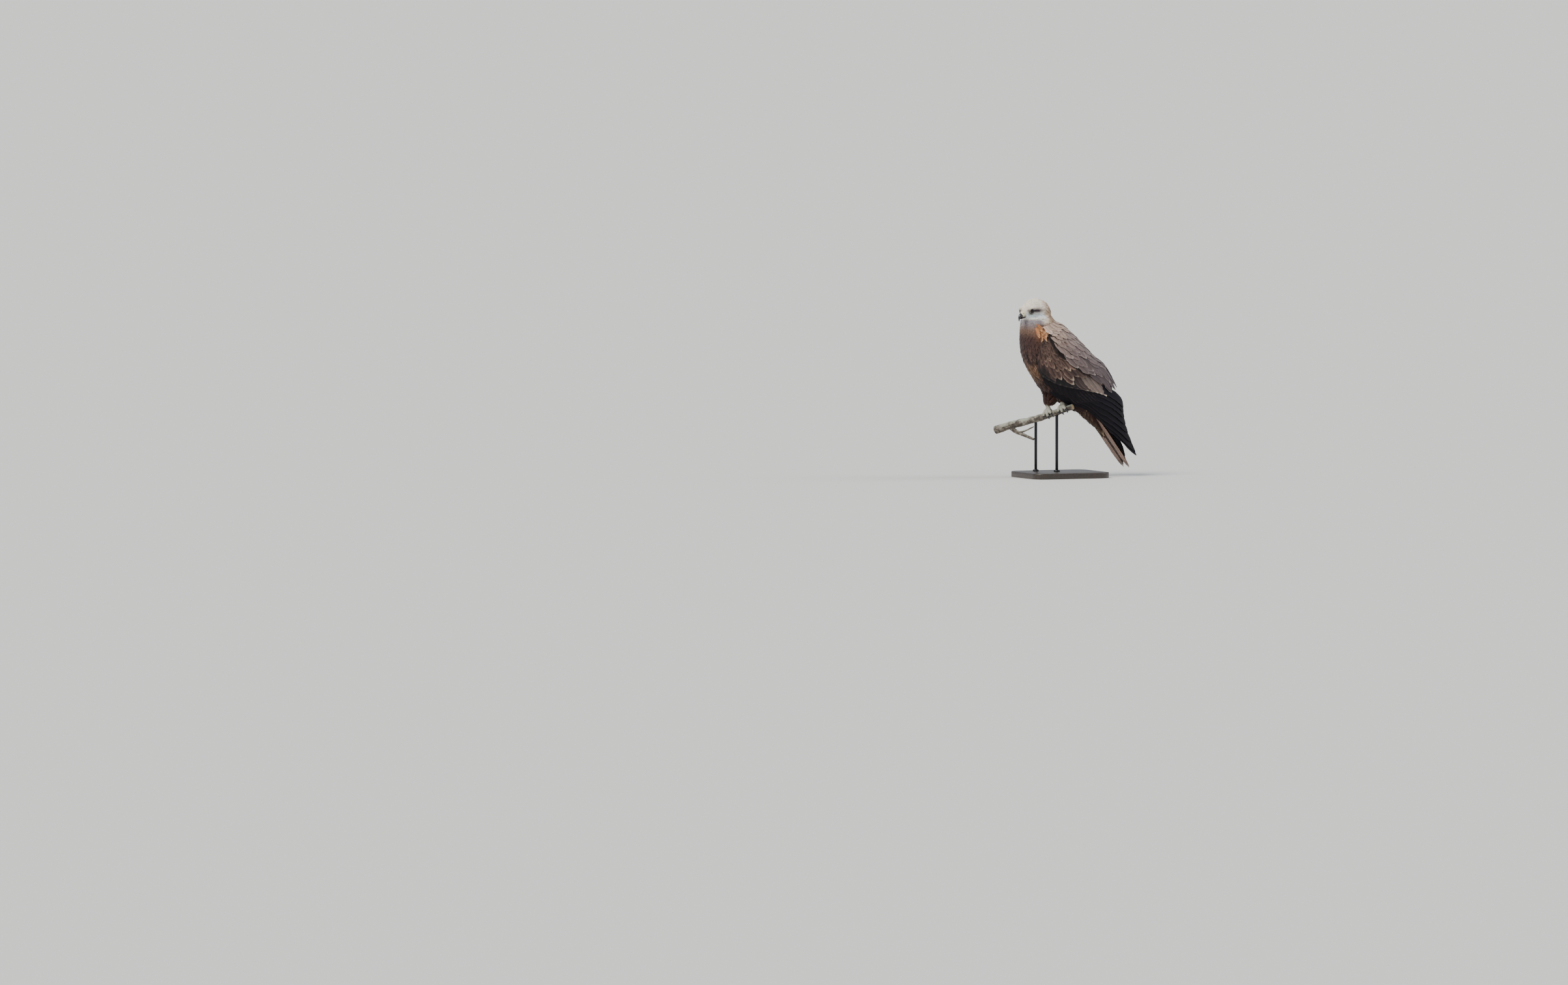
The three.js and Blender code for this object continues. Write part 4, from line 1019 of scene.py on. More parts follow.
# Wings: coverts in tiers over the arm, the dark flight feathers folded under them, and the
# shoulder feathers lying over the top of the wing and the back
FLIGHT = [[0, 0.45], [0.12, 0.8], [0.5, 1], [0.84, 0.95], [0.93, 0.8], [0.966, 0.6], [1, 0.1]]
TAPERED = [[0, 0.5], [0.3, 0.9], [0.55, 1], [0.74, 0.86], [0.88, 0.58], [0.96, 0.3], [1, 0.12]]
POINTED = [[0, 0.4], [0.3, 0.85], [0.55, 1], [0.8, 0.78], [0.93, 0.46], [1, 0.12]]
WING_RADIUS = 76
WING_TIP = {1: 39, -1: 27}
WING_START = {1: 0.02, -1: 0.16}
PRIMARY_REACH = np.array([0.87, 0.955, 1.0, 0.985, 0.945, 0.9, 0.855, 0.815, 0.785, 0.76])
LESSER_ROWS = (0.0, 0.1, 0.2, 0.31, 0.42)
SHOULDER_ROWS = (
    (0.0, 7, 0.07), (0.03, 8, 0.075), (0.06, 8, 0.08), (0.09, 7, 0.09), (0.125, 8, 0.1),
    (0.16, 8, 0.11), (0.2, 8, 0.115), (0.24, 8, 0.12), (0.285, 8, 0.13), (0.33, 7, 0.135),
    (0.375, 6, 0.145), (0.42, 5, 0.155), (0.46, 4, 0.165),
)
SHOULDER_TOP = 84
REMEX, REMEX_TIP, REMEX_EDGE = (17, 14, 22), (20, 17, 22), (38, 32, 38)
SECONDARY_TIP, SECONDARY_EDGE = (26, 22, 28), (52, 43, 46)
OUTER_COVERT, OUTER_TIP, OUTER_EDGE = (19, 16, 21), (27, 22, 26), (33, 27, 30)
GREATER_OUTER, GREATER_INNER, GREATER_PALE = (22, 18, 22), (88, 70, 65), (118, 102, 94)
GREATER_ROOT, GREATER_TIP, GREATER_EDGE = (78, 58, 52), (214, 196, 178), (150, 128, 116)
MIDDLE_INNER, MIDDLE_OUTER, MIDDLE_LOW = (80, 60, 54), (64, 46, 42), (24, 19, 22)
MIDDLE_TIP, MIDDLE_EDGE = (212, 190, 168), (150, 124, 108)
LESSER_INNER, LESSER_OUTER = (94, 72, 64), (72, 53, 48)
LESSER_TIP, LESSER_EDGE = (196, 170, 148), (142, 114, 99)
SHOULDER_FRONT, SHOULDER_REAR, SHOULDER_TAN = (134, 114, 108), (84, 70, 72), (176, 150, 134)
SHOULDER_TIP, SHOULDER_RIM = (190, 174, 164), (178, 162, 152)


def spread_out(low, high, count, bend=1.0):
    return low + (high - low) * np.linspace(0, 1, count) ** bend


def toward(colours, target, share):
    return colours + (target - colours) * share


def on_wing(side, root, tip, rows, roll=0.0, bow=0.0, skew=1.0, rise=1.0):
    t = np.linspace(0, 1, rows)[None, :]
    s = between(root[0][:, None], tip[0][:, None], t)
    angle = between(root[1][:, None], tip[1][:, None], t)
    angle = angle + np.asarray(bow)[..., None] * np.sin(pi * t**skew)
    lift = root[2][:, None] + (tip[2] - root[2])[:, None] * t**rise
    path = cloak_at(s, angle, lift, side)
    across = unit(cloak_at(s, angle + 1.5, lift, side) - cloak_at(s, angle - 1.5, lift, side))
    out = unit(np.cross(unit(np.gradient(path, axis=1)), across)) * side
    tilt = np.radians(roll)
    across, out = across * cos(tilt) - out * sin(tilt), out * cos(tilt) + across * sin(tilt)
    return s, angle, path, across, out


def lay(name, side, root, tip, width, outline, paint, slot, colours, roll=0.0, bow=0.0, skew=1.0,
        rise=1.0, **extra):
    rows, columns = colours.shape[1:3]
    s, angle, path, across, out = on_wing(side, root, tip, rows, roll, bow, skew, rise)
    half = np.asarray(width)[:, None] / 2 * shares(outline, rows)[None]
    if slot == "covert":
        # Coverts along the lower edge of the shoulder feathers are darkened by up to 86 per cent:
        # painted shadow under that edge.
        aside = np.degrees(half[..., None] * np.linspace(-1, 1, columns) / WING_RADIUS)
        shaded = 8 + 8 * smooth_step(0.1, 0.3, s)[..., None]
        below = shoulder_low(s)[..., None] - (angle[..., None] + aside)
        painted_edge_shadow = (1 - smooth_step(shaded, shaded + 6, below)) * smooth_step(-12, -4, below)
        colours = colours * (1 - 0.86 * painted_edge_shadow)[..., None]
    vanes(name, path, across, out, half, colours, slot, paint, **extra)


for word, side in (("left", 1), ("right", -1)):
    start = WING_START[side]
    count = len(PRIMARY_REACH)
    number = np.arange(count)
    across = start + 0.03 + 0.055 * number
    s = arm_end(across) + 0.005
    lift = -12.5 + 1.05 * number
    root = (s, wing_angle(s, across), lift - 1)
    tip = (PRIMARY_REACH, WING_TIP[side] - 16 + 4.9 * number, lift + 9)
    paint_on = vane_colours(
        varied(REMEX, count), varied(REMEX_TIP, count), varied(REMEX_EDGE, count), 30, 9,
        edge_from=0.86,
    )
    lay(f"primaries_vanes_{word}", side, root, tip, np.full(count, 27.0), FLIGHT, dark_plumage,
        "remex", paint_on, bow=-31 + 3.7 * number, skew=0.7, droop=0.03, shaft=0.35,
        replaced=(f"primaries_{word}",))

    count = 13
    across = spread_out(0.42, 1.0, count)
    s = arm_end(across) - 0.02
    root = (s, wing_angle(s, across), spread_out(-4.6, -2.4, count))
    tip = (spread_out(0.53, 0.72, count, 1.2), spread_out(-36, 50, count),
           spread_out(-3.6, -1.6, count))
    base = varied(REMEX, count) + np.linspace(0, 0.03, count)[:, None] ** 2
    paint_on = vane_colours(
        base, varied(SECONDARY_TIP, count), varied(SECONDARY_EDGE, count), 22, 9, edge_from=0.88,
    )
    lay(f"secondaries_vanes_{word}", side, root, tip, np.full(count, 27.0), FLIGHT, dark_plumage,
        "remex", paint_on, roll=4, droop=0.03, shaft=0.3, replaced=(f"secondaries_{word}",))

    count = 7
    across = spread_out(start, 0.5, count)
    s = arm_end(across) - 0.02
    root = (s, wing_angle(s, across), np.full(count, -2.2))
    tip = (spread_out(0.33, 0.51, count), spread_out(-57 + 80 * start, -34, count),
           np.full(count, -1.6))
    paint_on = vane_colours(
        varied(OUTER_COVERT, count), varied(OUTER_TIP, count), varied(OUTER_EDGE, count), 14, 7,
    )
    lay(f"primary_coverts_{word}", side, root, tip, np.full(count, 17.0), FLIGHT, dark_plumage,
        "covert", paint_on, roll=4, droop=0.04, shaft=0.25)

    count = 13
    across = spread_out(start, 1.0, count)
    s = arm_end(across) - spread_out(0.06, 0.09, count)
    root = (s, wing_angle(s, across), np.full(count, -1.4))
    tip = (spread_out(0.27, 0.61, count, 0.95), spread_out(-55 + 80 * start, 22, count),
           np.full(count, 1.3))
    upper = smooth_step(0.5, 0.92, np.linspace(0, 1, count))[:, None]
    base = between(varied(GREATER_OUTER, count, 0.1), varied(GREATER_INNER, count, 0.1), upper)
    base[-3:] = varied(GREATER_PALE, 3, 0.1)
    bright = 0.08 + 0.92 * upper * np.where(np.arange(count) % 4 == 1, 0.3, 1.0)[:, None]
    paint_on = vane_colours(
        base, varied(GREATER_TIP, count, 0.12), varied(GREATER_EDGE, count, 0.1), 18, 9,
        tip_from=0.86, edge_from=0.72, bright=bright, dark_shaft=0.5,
    )
    to_root = (1 - smooth_step(0.05, 0.3, np.linspace(0, 1, 18)))[None, :, None, None]
    brown = varied(GREATER_ROOT, count, 0.15)[:, None, None]
    paint_on = toward(paint_on, brown, (1 - upper[:, None, None]) * to_root)
    lay(f"greater_coverts_{word}", side, root, tip, spread_out(19, 25, count), TAPERED,
        sleek_plumage, "covert", paint_on, roll=5, droop=0.05, shaft=0.2, rag=1.5,
        replaced=(f"coverts_{word}",))

    count = 12
    across = spread_out(start, 1.0, count)
    s = arm_end(across) * 0.5 + 0.055 + 0.014 * chance.standard_normal(count)
    root = (s, wing_angle(s, across), np.full(count, -0.6))
    swing = wing_angle(s, across) + spread_out(-5, 8, count) + chance.normal(0, 1.6, count)
    tip = (s + spread_out(0.075, 0.14, count), swing, np.full(count, 2.2))
    outer = (1 - smooth_step(0.14, 0.42, across))[:, None]
    base = between(varied(MIDDLE_INNER, count, 0.16), varied(MIDDLE_OUTER, count, 0.2), outer)
    bright = near(across, 0.62, 0.36) * np.where(chance.uniform(0, 1, count) < 0.55, 1.1, 0.3)
    paint_on = vane_colours(
        base, varied(MIDDLE_TIP, count, 0.12), varied(MIDDLE_EDGE, count, 0.12), 14, 9,
        tip_from=0.84, edge_from=0.6, dark_shaft=0.6, bright=bright,
    )
    low_end = outer * smooth_step(0.3, 0.7, np.linspace(0, 1, 14))
    paint_on = blend_to(paint_on, MIDDLE_LOW, 0.85 * low_end[:, :, None])
    lay(f"middle_coverts_{word}", side, root, tip, spread_out(16, 22, count), TAPERED,
        sleek_plumage, "covert", paint_on, roll=5, droop=0.1, shaft=0.25, rag=2.0, fray=0.07)

    roots, reach, widths = [], [], []
    for row, place in enumerate(LESSER_ROWS):
        count = 15 - row
        across = spread_out(start, 0.99, count) + 0.3 * (row % 2) / count
        across = np.clip(across + chance.normal(0, 0.016, count), 0, 1)
        s = ARM_START + 0.012 + (arm_end(across) - ARM_START) * place
        roots.append(np.stack([s + chance.normal(0, 0.007, count), across], axis=1))
        reach.append(spread_out(0.045, 0.085, count) + 0.006 * row)
        widths.append(spread_out(11, 18, count) + row)
    s, across = np.concatenate(roots).T
    reach, widths = np.concatenate(reach), np.concatenate(widths)
    count = len(s)
    root = (s, wing_angle(s, across), np.full(count, -0.7))
    tip = (s + reach * chance.uniform(0.85, 1.15, count),
           wing_angle(s, across) - 5 + 12 * across + chance.normal(0, 3, count),
           2.2 + 0.6 * chance.standard_normal(count))
    outer = (1 - smooth_step(0.0, 0.3, across))[:, None]
    base = between(varied(LESSER_INNER, count, 0.3), varied(LESSER_OUTER, count, 0.25), outer)
    bright = 0.12 + 1.0 * smooth_step(0.09, 0.18, s) * chance.uniform(0, 1, count) ** 1.5
    paint_on = vane_colours(
        base, varied(LESSER_TIP, count, 0.14), varied(LESSER_EDGE, count, 0.12), 11, 7,
        tip_from=0.8, edge_from=0.55, dark_shaft=0.6, bright=bright,
    )
    lay(f"lesser_coverts_{word}", side, root, tip, widths * 0.9, TAPERED, soft_plumage, "covert",
        paint_on, roll=4, droop=0.14, shaft=0.2, rag=2.2, fray=0.08)

    roots = []
    for row, (place, count, length) in enumerate(SHOULDER_ROWS):
        low = float(shoulder_low(place)) + 1
        angle = spread_out(low, SHOULDER_TOP, count)
        angle = angle + (row % 2) * 0.4 * (SHOULDER_TOP - low) / count
        roots.append(np.stack([np.full(count, place), angle, np.full(count, length)], axis=1))
    s, angle, length = np.concatenate(roots).T
    count = len(s)
    s = s + 0.009 * chance.standard_normal(count)
    length = length * chance.uniform(0.95, 1.25, count)
    root = (s, angle, 0.6 - 3.4 * (1 - smooth_step(0.0, 0.05, s)))
    tip = (s + length, angle + 0.05 * (60 - angle) + 1.5 * chance.standard_normal(count),
           3.9 + 0.4 * chance.standard_normal(count))
    fade = smooth_step(0.05, 0.45, s)[:, None]
    base = between(varied(SHOULDER_FRONT, count, 0.18), varied(SHOULDER_REAR, count, 0.18), fade)
    tan_share = (1 - smooth_step(0.02, 0.13, s))[:, None]
    base = toward(base, varied(SHOULDER_TAN, count, 0.1), tan_share)
    bright = chance.uniform(0, 1, count) ** 3 + smooth_step(66, 84, angle) * 0.7
    paint_on = vane_colours(
        base, varied(SHOULDER_TIP, count, 0.1), varied(SHOULDER_RIM, count, 0.1), 18, 9,
        tip_from=0.9, edge_from=0.8, dark_shaft=0.4, bright=bright,
    )
    lay(f"shoulder_feathers_{word}", side, root, tip, 20 + 55 * (length - 0.07), TAPERED,
        sleek_plumage, "mantle", paint_on, roll=4, droop=0.07, shaft=0.2, rag=1.6, rise=1.3,
        replaced=(f"scapulars_{word}",))

# Tail: twelve long feathers, the middle pair on top, brown above and pale cinnamon with a dark
# edge and tip beneath, the outermost pair with pale ends. Loose rufous feathers, some with
# straw-coloured tips, cover its root below.
TAIL_ROOT = np.array([0, 54, 70])
TAIL_SLOPE = radians(54)
TAIL_LENGTH, TAIL_START = 281, 28
TAIL_OUT = np.array([0, sin(TAIL_SLOPE), cos(TAIL_SLOPE)])
TAIL_DOWN = np.array([0, cos(TAIL_SLOPE), -sin(TAIL_SLOPE)])
TAIL_HALF = 15.0
TAIL_TOP, TAIL_TOP_TIP, TAIL_TOP_EDGE = (96, 72, 60), (52, 40, 38), (60, 46, 44)
TAIL_BELOW, TAIL_BELOW_TIP, TAIL_BELOW_EDGE = (166, 138, 124), (70, 54, 52), (74, 58, 56)
TAIL_PALE_END = (226, 218, 206)
VENT_DEPTHS = np.array([
    [40, 25, 26], [72, 24, 22], [88, 22, 20], [104, 20, 15], [122, 17, 9], [140, 13, 2.5],
    [165, 10, 0],
])
VENT_ROWS, VENT_COUNT = np.arange(34, 128, 6.5), 11
VENT_BASE, VENT_STRAW, VENT_EDGE = (58, 38, 34), (206, 184, 148), (98, 70, 60)


def on_tail(x, along, height):
    x, along, height = (part[..., None] for part in np.broadcast_arrays(x, along, height))
    return TAIL_ROOT + x * [1, 0, 0] + along * TAIL_DOWN + height * TAIL_OUT


rows, columns = 30, 9
pair = np.repeat(np.arange(6), 2)
side = np.tile([1, -1], 6)
count = len(pair)
share = (pair / 5)[:, None]
t = np.linspace(0, 1, rows)[None]
length = TAIL_LENGTH - 22 * (1 - share**1.6)
fan = between(3.1 + 1.6 * pair[:, None], 3 + 16 * share, t) + 7 * share * np.sin(pi * t)
level = (-(2 * pair + (side > 0)) * 1.05 + 5)[:, None]
path = on_tail(side[:, None] * fan, TAIL_START + (length - TAIL_START) * t, level + 0 * t)
across, out = vane_frame(path, TAIL_OUT)
half = TAIL_HALF * shares(FLIGHT, rows)[None] * np.ones((count, 1))
above = vane_colours(
    varied(TAIL_TOP, count), varied(TAIL_TOP_TIP, count), varied(TAIL_TOP_EDGE, count), rows,
    columns, tip_from=0.88, edge_from=0.8,
)
beneath = vane_colours(
    varied(TAIL_BELOW, count), varied(TAIL_BELOW_TIP, count), varied(TAIL_BELOW_EDGE, count), rows,
    columns, tip_from=0.86, edge_from=0.82,
)
pale_end = (near(share, 1, 0.15) * smooth_step(0.955, 0.985, t))[:, :, None]
above, beneath = (blend_to(tone, TAIL_PALE_END, pale_end) for tone in (above, beneath))
vanes("tail_vanes", path, across, out, half, above, "tail", dark_plumage, droop=0.03, shaft=0.35,
      replaced=("tail",), under=beneath)

rows, columns = 9, 7
spread = np.concatenate([
    np.linspace(-1, 1, VENT_COUNT) + 0.09 * (row % 2) for row in range(len(VENT_ROWS))
])
count = len(spread)
spread, along = (
    np.stack([spread, np.repeat(VENT_ROWS, VENT_COUNT)], axis=1)
    + chance.normal(0, [0.04, 1.6], (count, 2))
).T
t = np.linspace(0, 1, rows)[None]
longer = 8 * smooth_step(80, 110, along)[:, None]
reach = along[:, None] + (chance.uniform(30, 42, (count, 1)) + longer) * t
wide, deep = (np.interp(reach, VENT_DEPTHS[:, 0], VENT_DEPTHS[:, k]) for k in (1, 2))
aside = np.clip(spread[:, None] * (1 - 0.1 * t), -1, 1)
height = -8.0 - deep * np.sqrt(1 - 0.92 * aside**2) - 0.4 + 3.0 * (1 - t)
path = on_tail(aside * wide * 0.9, reach, height - chance.uniform(1, 6, (count, 1)) * t)
out = unit(aside[..., None] * [1, 0, 0] - np.sqrt(1 - 0.9 * aside**2)[..., None] * TAIL_OUT)
across, out = vane_frame(path, out)
half = chance.uniform(3.2, 4.8, (count, 1)) * shares(POINTED, rows)[None]
straw = chance.uniform(0, 1, count) < 0.03 + 0.5 * smooth_step(84, 112, along)
bright = np.where(straw, 1.0, 0.16) * chance.uniform(0.6, 1, count)
paint_on = vane_colours(
    varied(VENT_BASE, count, 0.2), varied(VENT_STRAW, count, 0.2), varied(VENT_EDGE, count, 0.2),
    rows, columns, tip_from=0.66, edge_from=0.6, bright=bright,
)
vanes("undertail_vanes", path, across, out, half, paint_on, "vent", soft_plumage, rag=3.0,
      droop=0.12, replaced=("undertail",))

# Coat: small feathers over the whole body, shortest on the face, longest on the belly. They lie
# back from the bill over the head, then down the neck, breast, back and thighs.
SIZES = np.array([
    [0, 1.1, 5.5, 2.1], [16, 1.2, 7, 2.4], [30, 1.5, 10, 3.1], [48, 2.0, 15, 4.4],
    [75, 2.9, 26, 7.0], [110, 3.8, 34, 9.5], [190, 4.1, 36, 11],
])
THIGH_SIZE = np.array([3.5, 22, 9])
BILL_BASE = np.array([0, -17, -8])
LIE_TURN = np.array([
    [46, 50], [76, 47], [106, 47], [140, 50], [178, 56], [210, 66], [240, 76], [262, 82],
])
THIGH_LIE = np.array([0, 0.25, -1])
CELL = 4.7
PIECE_LIMIT = 190000
PALE_STREAK, DARK_SHAFT = (168, 140, 124), (34, 24, 22)
STREAKED_SHARE = 0.42
CLUMP_SIZE = [9, 9, 15]
PERCH_MM = np.array(PERCH) / MM
skin_tree = BVHTree.FromPolygons(
    [v.co / MM for v in skin.data.vertices], [p.vertices for p in skin.data.polygons],
)


def sizes_at(places):
    reach = np.linalg.norm(in_head(places) - BILL_BASE, axis=-1)
    found = np.stack([np.interp(reach, SIZES[:, 0], SIZES[:, k]) for k in (1, 2, 3)], axis=-1)
    thigh = (1 - smooth_step(76, 100, places[:, 2])) * (1 - smooth_step(18, 34, places[:, 1]))
    return toward(found, THIGH_SIZE, thigh[:, None])


def lie_at(places):
    at = in_head(places)
    turn = np.radians(np.interp(places[:, 2], LIE_TURN[:, 0], LIE_TURN[:, 1]))
    trunk = np.stack([0 * turn, np.cos(turn), -np.sin(turn)], axis=-1)
    thigh = (1 - smooth_step(70, 96, places[:, 2])) * (1 - smooth_step(10, 30, places[:, 1]))
    trunk = toward(trunk, THIGH_LIE, thigh[:, None])
    share = smooth_step(42, 84, np.linalg.norm(at - BILL_BASE, axis=-1))[:, None]
    return unit(between(unit(turned(at - BILL_BASE)), trunk, share))


def on_skin(places):
    found = [skin_tree.find_nearest(at) for at in places + PERCH_MM]
    return np.array([f[0] for f in found]) - PERCH_MM, np.array([f[1] for f in found])


def scattered():
    skin.data.calc_loop_triangles()
    corners = np.empty(len(skin.data.loop_triangles) * 3, np.int32)
    skin.data.loop_triangles.foreach_get("vertices", corners)
    corners = skin_places[corners.reshape(-1, 3)]
    first, second = corners[:, 1] - corners[:, 0], corners[:, 2] - corners[:, 0]
    area = np.linalg.norm(np.cross(first, second), axis=1) / 2
    weight = area / sizes_at(corners.mean(axis=1))[:, 0] ** 2
    picks = chance.choice(len(corners), int(3.6 * weight.sum()), p=weight / weight.sum())
    a, b = chance.uniform(0, 1, (2, len(picks), 1))
    a, b = np.where(a + b > 1, 1 - a, a), np.where(a + b > 1, 1 - b, b)
    spots = corners[picks, 0] * (1 - a - b) + corners[picks, 1] * a + corners[picks, 2] * b
    gaps = sizes_at(spots)[:, 0]
    kept, cells = [], {}
    for number, (at, gap) in enumerate(zip(spots.tolist(), gaps.tolist())):
        x, y, z = (int(c // CELL) for c in at)
        if not any(
            sum((a - b) ** 2 for a, b in zip(at, other)) < gap * gap
            for i, j, k in np.ndindex(3, 3, 3)
            for other in cells.get((x + i - 1, y + j - 1, z + k - 1), ())
        ):
            cells.setdefault((x, y, z), []).append(at)
            kept.append(number)
    return spots[kept]


def covered(places, outward, tree):
    starts = zip(places + PERCH_MM, outward)
    return np.array([tree.ray_cast(at + n * 2.0, n, 16)[0] is not None for at, n in starts])


def wing_tree():
    points, faces, start = [], [], 0
    for piece in tracts:
        if piece.name.startswith(("tail", "undertail")):
            continue
        data = piece.data
        place = np.empty(len(data.vertices) * 3)
        data.vertices.foreach_get("co", place)
        corners = np.empty(len(data.loops), np.int32)
        data.loops.foreach_get("vertex_index", corners)
        points.append(place.reshape(-1, 3) / MM)
        faces.append(corners.reshape(-1, 4) + start)
        start += len(data.vertices)
    return BVHTree.FromPolygons(np.concatenate(points).tolist(), np.concatenate(faces).tolist())


def eye_clear(places):
    clear = np.ones(places.shape[:-1], bool)
    for side in (1, -1):
        centre, look = eye_frame(side)
        out = places - centre
        clear &= (angle_from(out, look) > EYE_OPENING + 1) | (np.linalg.norm(out, axis=-1) > 15)
    return clear


def bill_clear(places):
    at = in_head(places)
    clear = np.ones(len(places), bool)
    for line, sizes in ((CERE_LINE, CERE_SIZES), (JAW_LINE, JAW_SIZES)):
        steps = np.linspace(0, 1, 9)
        for middle, size in zip(curve_at(line, steps), curve_at(sizes, steps)):
            gap = (at - middle) / [size[0] + 0.5, 2.2, size[1] + 0.5]
            clear &= np.linalg.norm(gap, axis=1) > 1
    return clear


def grow(roots, lengths, rows, height, swerve):
    path = np.empty((len(roots), rows, 3))
    out = np.empty_like(path)
    at, normal = on_skin(roots)
    heading = lie_at(at)
    sideways = np.cross(normal, heading)
    heading = heading * np.cos(swerve)[:, None] + sideways * np.sin(swerve)[:, None]
    for row in range(rows):
        if row:
            heading = heading * 0.7 + lie_at(at) * 0.3
            heading = unit(heading - normal * np.sum(heading * normal, axis=1, keepdims=True))
            at, normal = on_skin(at + heading * (lengths / (rows - 1))[:, None])
        path[:, row], out[:, row] = at, normal
    t = np.linspace(0, 1, rows)[None, :, None]
    for _ in range(2):
        out[:, 1:-1] = unit(out[:, :-2] + out[:, 1:-1] * 2 + out[:, 2:])
    return path + out * (height[:, None, None] * t**1.2 - 0.3 * (1 - t)), out


roots = scattered()
lie_normal = on_skin(roots)[1]
keep = eye_clear(roots) & bill_clear(roots) & (roots[:, 2] > 22)
roots, lie_normal = roots[keep], lie_normal[keep]
wings = wing_tree()
ahead = roots + lie_at(roots) * sizes_at(roots)[:, 1:2]
roots = roots[~(covered(roots, lie_normal, wings) & covered(ahead, lie_normal, wings))]
size = sizes_at(roots) * chance.uniform(0.86, 1.14, (len(roots), 1))
at = in_head(roots)
reach = np.linalg.norm(at - BILL_BASE, axis=-1)
ruffled = near(at[:, 1], 44, 16) * near(at[:, 2], 4, 24)
height = np.interp(reach, [0, 20, 45, 90], [0.7, 0.9, 1.7, COAT_DEPTH + 0.9])
height = height * chance.uniform(0.75, 1.3, len(roots)) * (1 + 0.9 * ruffled)
swerve = np.radians(np.interp(reach, [0, 40, 100], [4, 7, 12]))
swerve = swerve * chance.standard_normal(len(roots))
fuller = near(roots[:, 2], 94, 28) * (1 - smooth_step(-34, 0, roots[:, 1]))
height += 5 * fuller
size[:, 1] *= 1 + 0.3 * fuller
free = eye_clear(grow(roots, size[:, 1], 9, height, swerve)[0])
open_share = np.where(free.all(axis=1), 1.0, np.argmin(free, axis=1) / 8 * 0.85)
order = np.argsort(-roots[:, 2])
trunk_high = roots[:, 2] > 190
trunk_low = roots[:, 2] <= 120
for name, member, slot, rows in (
    ("head_feathers", reach < 30, "crown", 6),
    ("nape_feathers", (reach >= 30) & (reach < 62), "nape", 6),
    ("neck_feathers", (reach >= 62) & trunk_high, "nape", 8),
    ("breast_feathers", (reach >= 62) & ~trunk_high & ~trunk_low, "breast", 9),
    ("belly_feathers", (reach >= 62) & trunk_low, "thigh", 9),
):
    chosen = order[(member & (open_share > 0.3))[order]]
    count, columns = len(chosen), 5
    opened, places, away = open_share[chosen], roots[chosen], reach[chosen]
    longest = size[chosen, 1] * opened
    path, out = grow(places, longest, rows, height[chosen] * opened, swerve[chosen])
    across, out = vane_frame(path, out)
    twist = np.radians(chance.normal(0, 5, (count, 1, 1)))
    across = across * np.cos(twist) + out * np.sin(twist)
    half = size[chosen, 2][:, None] / 2 * shares(POINTED, rows)[None]
    half = half * (0.4 + 0.6 * opened[:, None])
    wide = half[:, :, None] * np.linspace(-1, 1, columns)
    spots = path[:, :, None] + across[:, :, None] * wide[..., None]
    t = np.linspace(0, 1, rows)[None, :, None]
    x = np.abs(np.linspace(-1, 1, columns))[None, None]
    trunk = smooth_step(56, 96, away)[:, None, None]
    clump = np.array([noise.noise(Vector(at / CLUMP_SIZE)) for at in places])
    ground = between(marking(spots), marking(path[:, rows // 2])[:, None, None], trunk[..., None])
    breast = smooth_step(70, 110, away) * (1 - smooth_step(60, 100, places[:, 1]))
    flank = smooth_step(24, 46, np.abs(places[:, 0])) * (1 - smooth_step(120, 170, places[:, 2]))
    streaked = np.where(chance.uniform(0, 1, (count, 1, 1)) < STREAKED_SHARE, 0.62, 0.1)
    fade = breast * (1 - 0.7 * flank) * smooth_step(70, 128, places[:, 2])
    pale = fade[:, None, None] * smooth_step(0.4, 1, x) * smooth_step(0.2, 0.7, t) * streaked
    ground = blend_to(ground, PALE_STREAK, pale)
    dark = (0.18 + 0.4 * trunk) * near(x, 0, 0.3) * smooth_step(0, 0.35, t)
    ground = blend_to(ground, DARK_SHAFT, dark)
    t, trunk = t[..., None], trunk[..., None]
    uneven = (0.07 + 0.13 * trunk) * chance.standard_normal((count, 1, 1, 1))
    ground = ground * (0.8 + 0.3 * t) * (1 + uneven)
    ground = ground * (1 + (0.1 + 0.9 * trunk) * clump[:, None, None, None])
    ground = np.maximum(ground, 0.002) * (1 - 0.5 * ruffled[chosen][:, None, None, None] * t**2)
    rag = float(np.median(size[chosen, 1])) * 0.06
    triangles = count * 4 * (rows - 1) * (columns - 1)
    parts = np.array_split(np.arange(count), int(np.ceil(triangles / PIECE_LIMIT)))
    for part, few in enumerate(parts, 1):
        vanes(f"{name}_{part}", path[few], across[few], out[few], half[few], ground[few], slot,
              soft_plumage, rag=rag, droop=0.1, shaft=0.05 * (rows > 6))

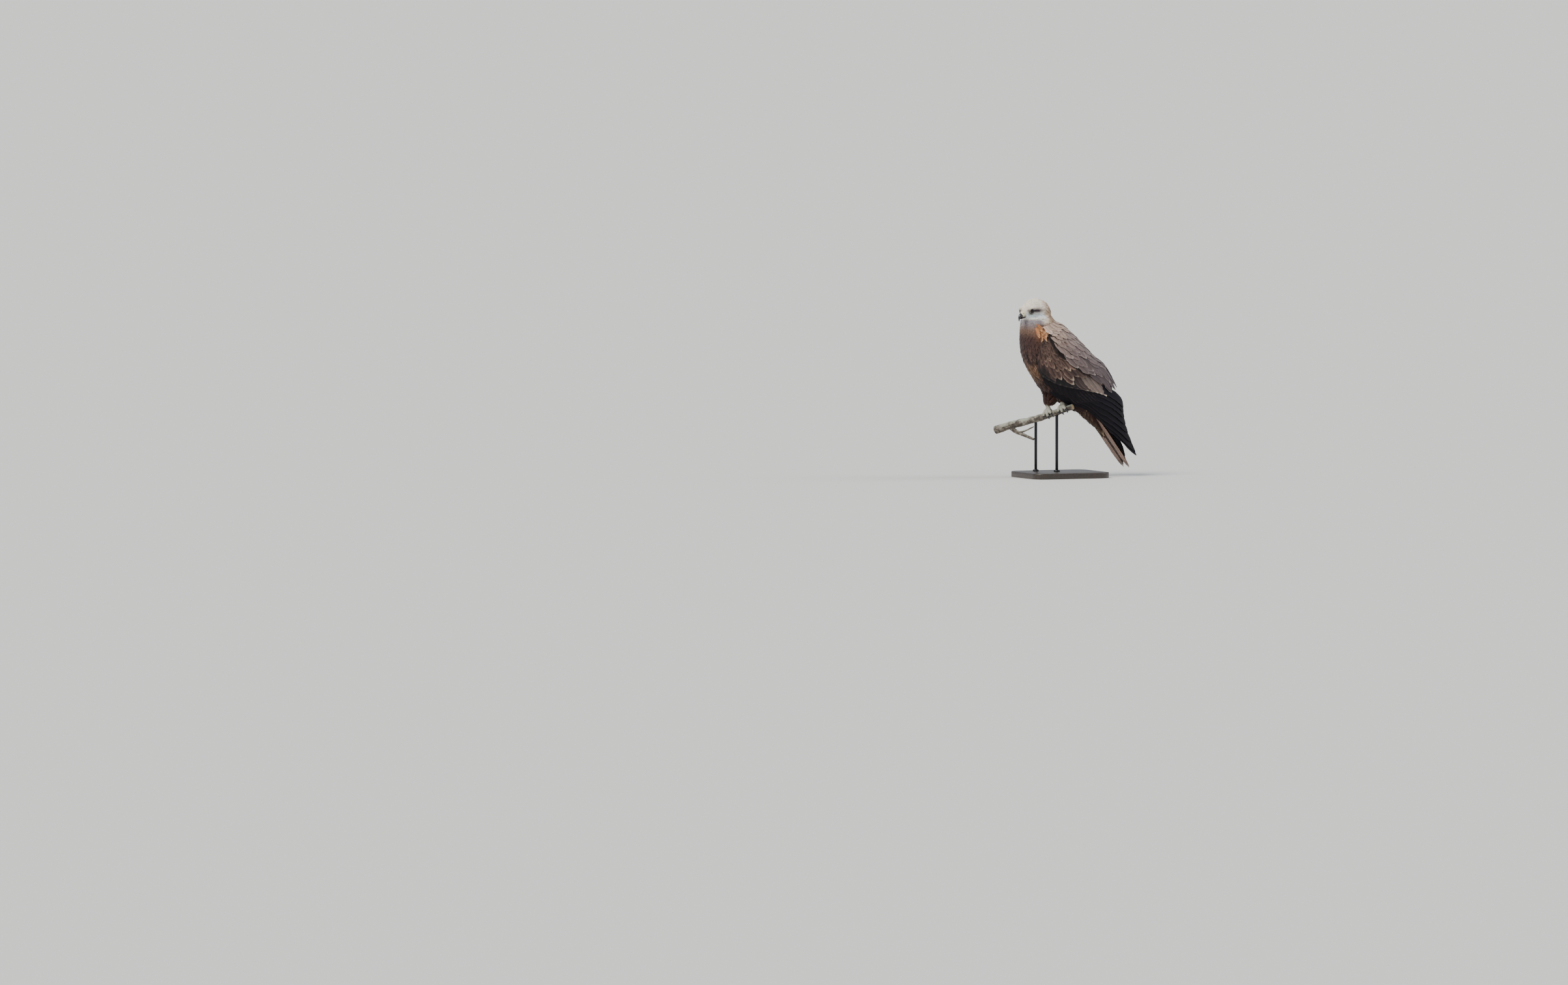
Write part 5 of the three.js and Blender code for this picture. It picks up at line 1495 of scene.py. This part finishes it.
# Collar and thigh feathers: low on each side of the neck a ragged bunch of buff orange feathers
# stands over the breast, and long loose feathers hang from each thigh over the shank
COLLAR_COUNT = 34
COLLAR_BASE, COLLAR_TIP, COLLAR_EDGE = (166, 110, 72), (228, 184, 140), (194, 138, 94)
THIGH_RINGS = ((34, 26, 12), (26, 26, 6), (18, 24, 1))
THIGH_REACH, SHANK_REACH = 26, [9.5, 10.5, 1]
THIGH_TIP, THIGH_EDGE = (112, 78, 62), (96, 64, 52)
for word, side in (("left", 1), ("right", -1)):
    count, rows, columns = COLLAR_COUNT, 9, 7
    spread = chance.uniform(-1, 1, (count, 2))
    start = (
        (PATCH_MIDDLE + [0, -3, 15]) * [side, 1, 1]
        + spread[:, :1] * [side * 3, 11, -7] + spread[:, 1:] * [0, 3, 9]
    )
    start = start[np.argsort(start[:, 2])]
    length = chance.uniform(17, 27, count)
    height = chance.uniform(4.0, 6.5, count)
    path, out = grow(start, length, rows, height, chance.normal(-0.1, 0.22, count))
    path += out * 3.4
    across = vane_frame(path, out)[0]
    half = chance.uniform(2.4, 3.8, (count, 1)) * shares(TAPERED, rows)[None]
    paint_on = vane_colours(
        varied(COLLAR_BASE, count, 0.3), varied(COLLAR_TIP, count, 0.12),
        varied(COLLAR_EDGE, count, 0.18), rows, columns, tip_from=0.74, edge_from=0.5,
        bright=chance.uniform(0.2, 1, count),
    )
    vanes(f"collar_feathers_{word}", path, across, out, half, paint_on, "breast", soft_plumage,
          rag=2.6, droop=0.12)

    rows, columns = 9, 5
    foot_top = shank_root(side)
    share = np.linspace(0, 1, rows)[None, :, None]
    paths = []
    for up, number, lower in THIGH_RINGS:
        turns = np.arange(number) / number * 2 * pi + up
        ring = np.stack([np.cos(turns), np.sin(turns), 0 * turns], axis=1)
        high = on_skin(foot_top + [0, 6, up] + ring * THIGH_REACH)[0]
        low = foot_top + [0, 3, lower] + ring * SHANK_REACH + chance.normal(0, 1.6, (number, 3))
        puff = ring[:, None] * 3.5 * np.sin(pi * share)
        paths.append(between(high[:, None], low[:, None], share) + puff)
    path = np.concatenate(paths)
    count = len(path)
    out = path - (foot_top + [0, 4, 0]) - np.array([0, 0, 1]) * (path - foot_top)[..., 2:]
    across, out = vane_frame(path, unit(out))
    half = chance.uniform(3.2, 4.4, (count, 1)) * shares(POINTED, rows)[None]
    paint_on = vane_colours(
        varied(THIGH, count, 0.25), varied(THIGH_TIP, count, 0.2), varied(THIGH_EDGE, count, 0.2),
        rows, columns, tip_from=0.7, edge_from=0.5, bright=chance.uniform(0, 1, count),
    )
    vanes(f"thigh_feathers_{word}", path, across, out, half, paint_on, "thigh", soft_plumage,
          rag=2.0, droop=0.12)
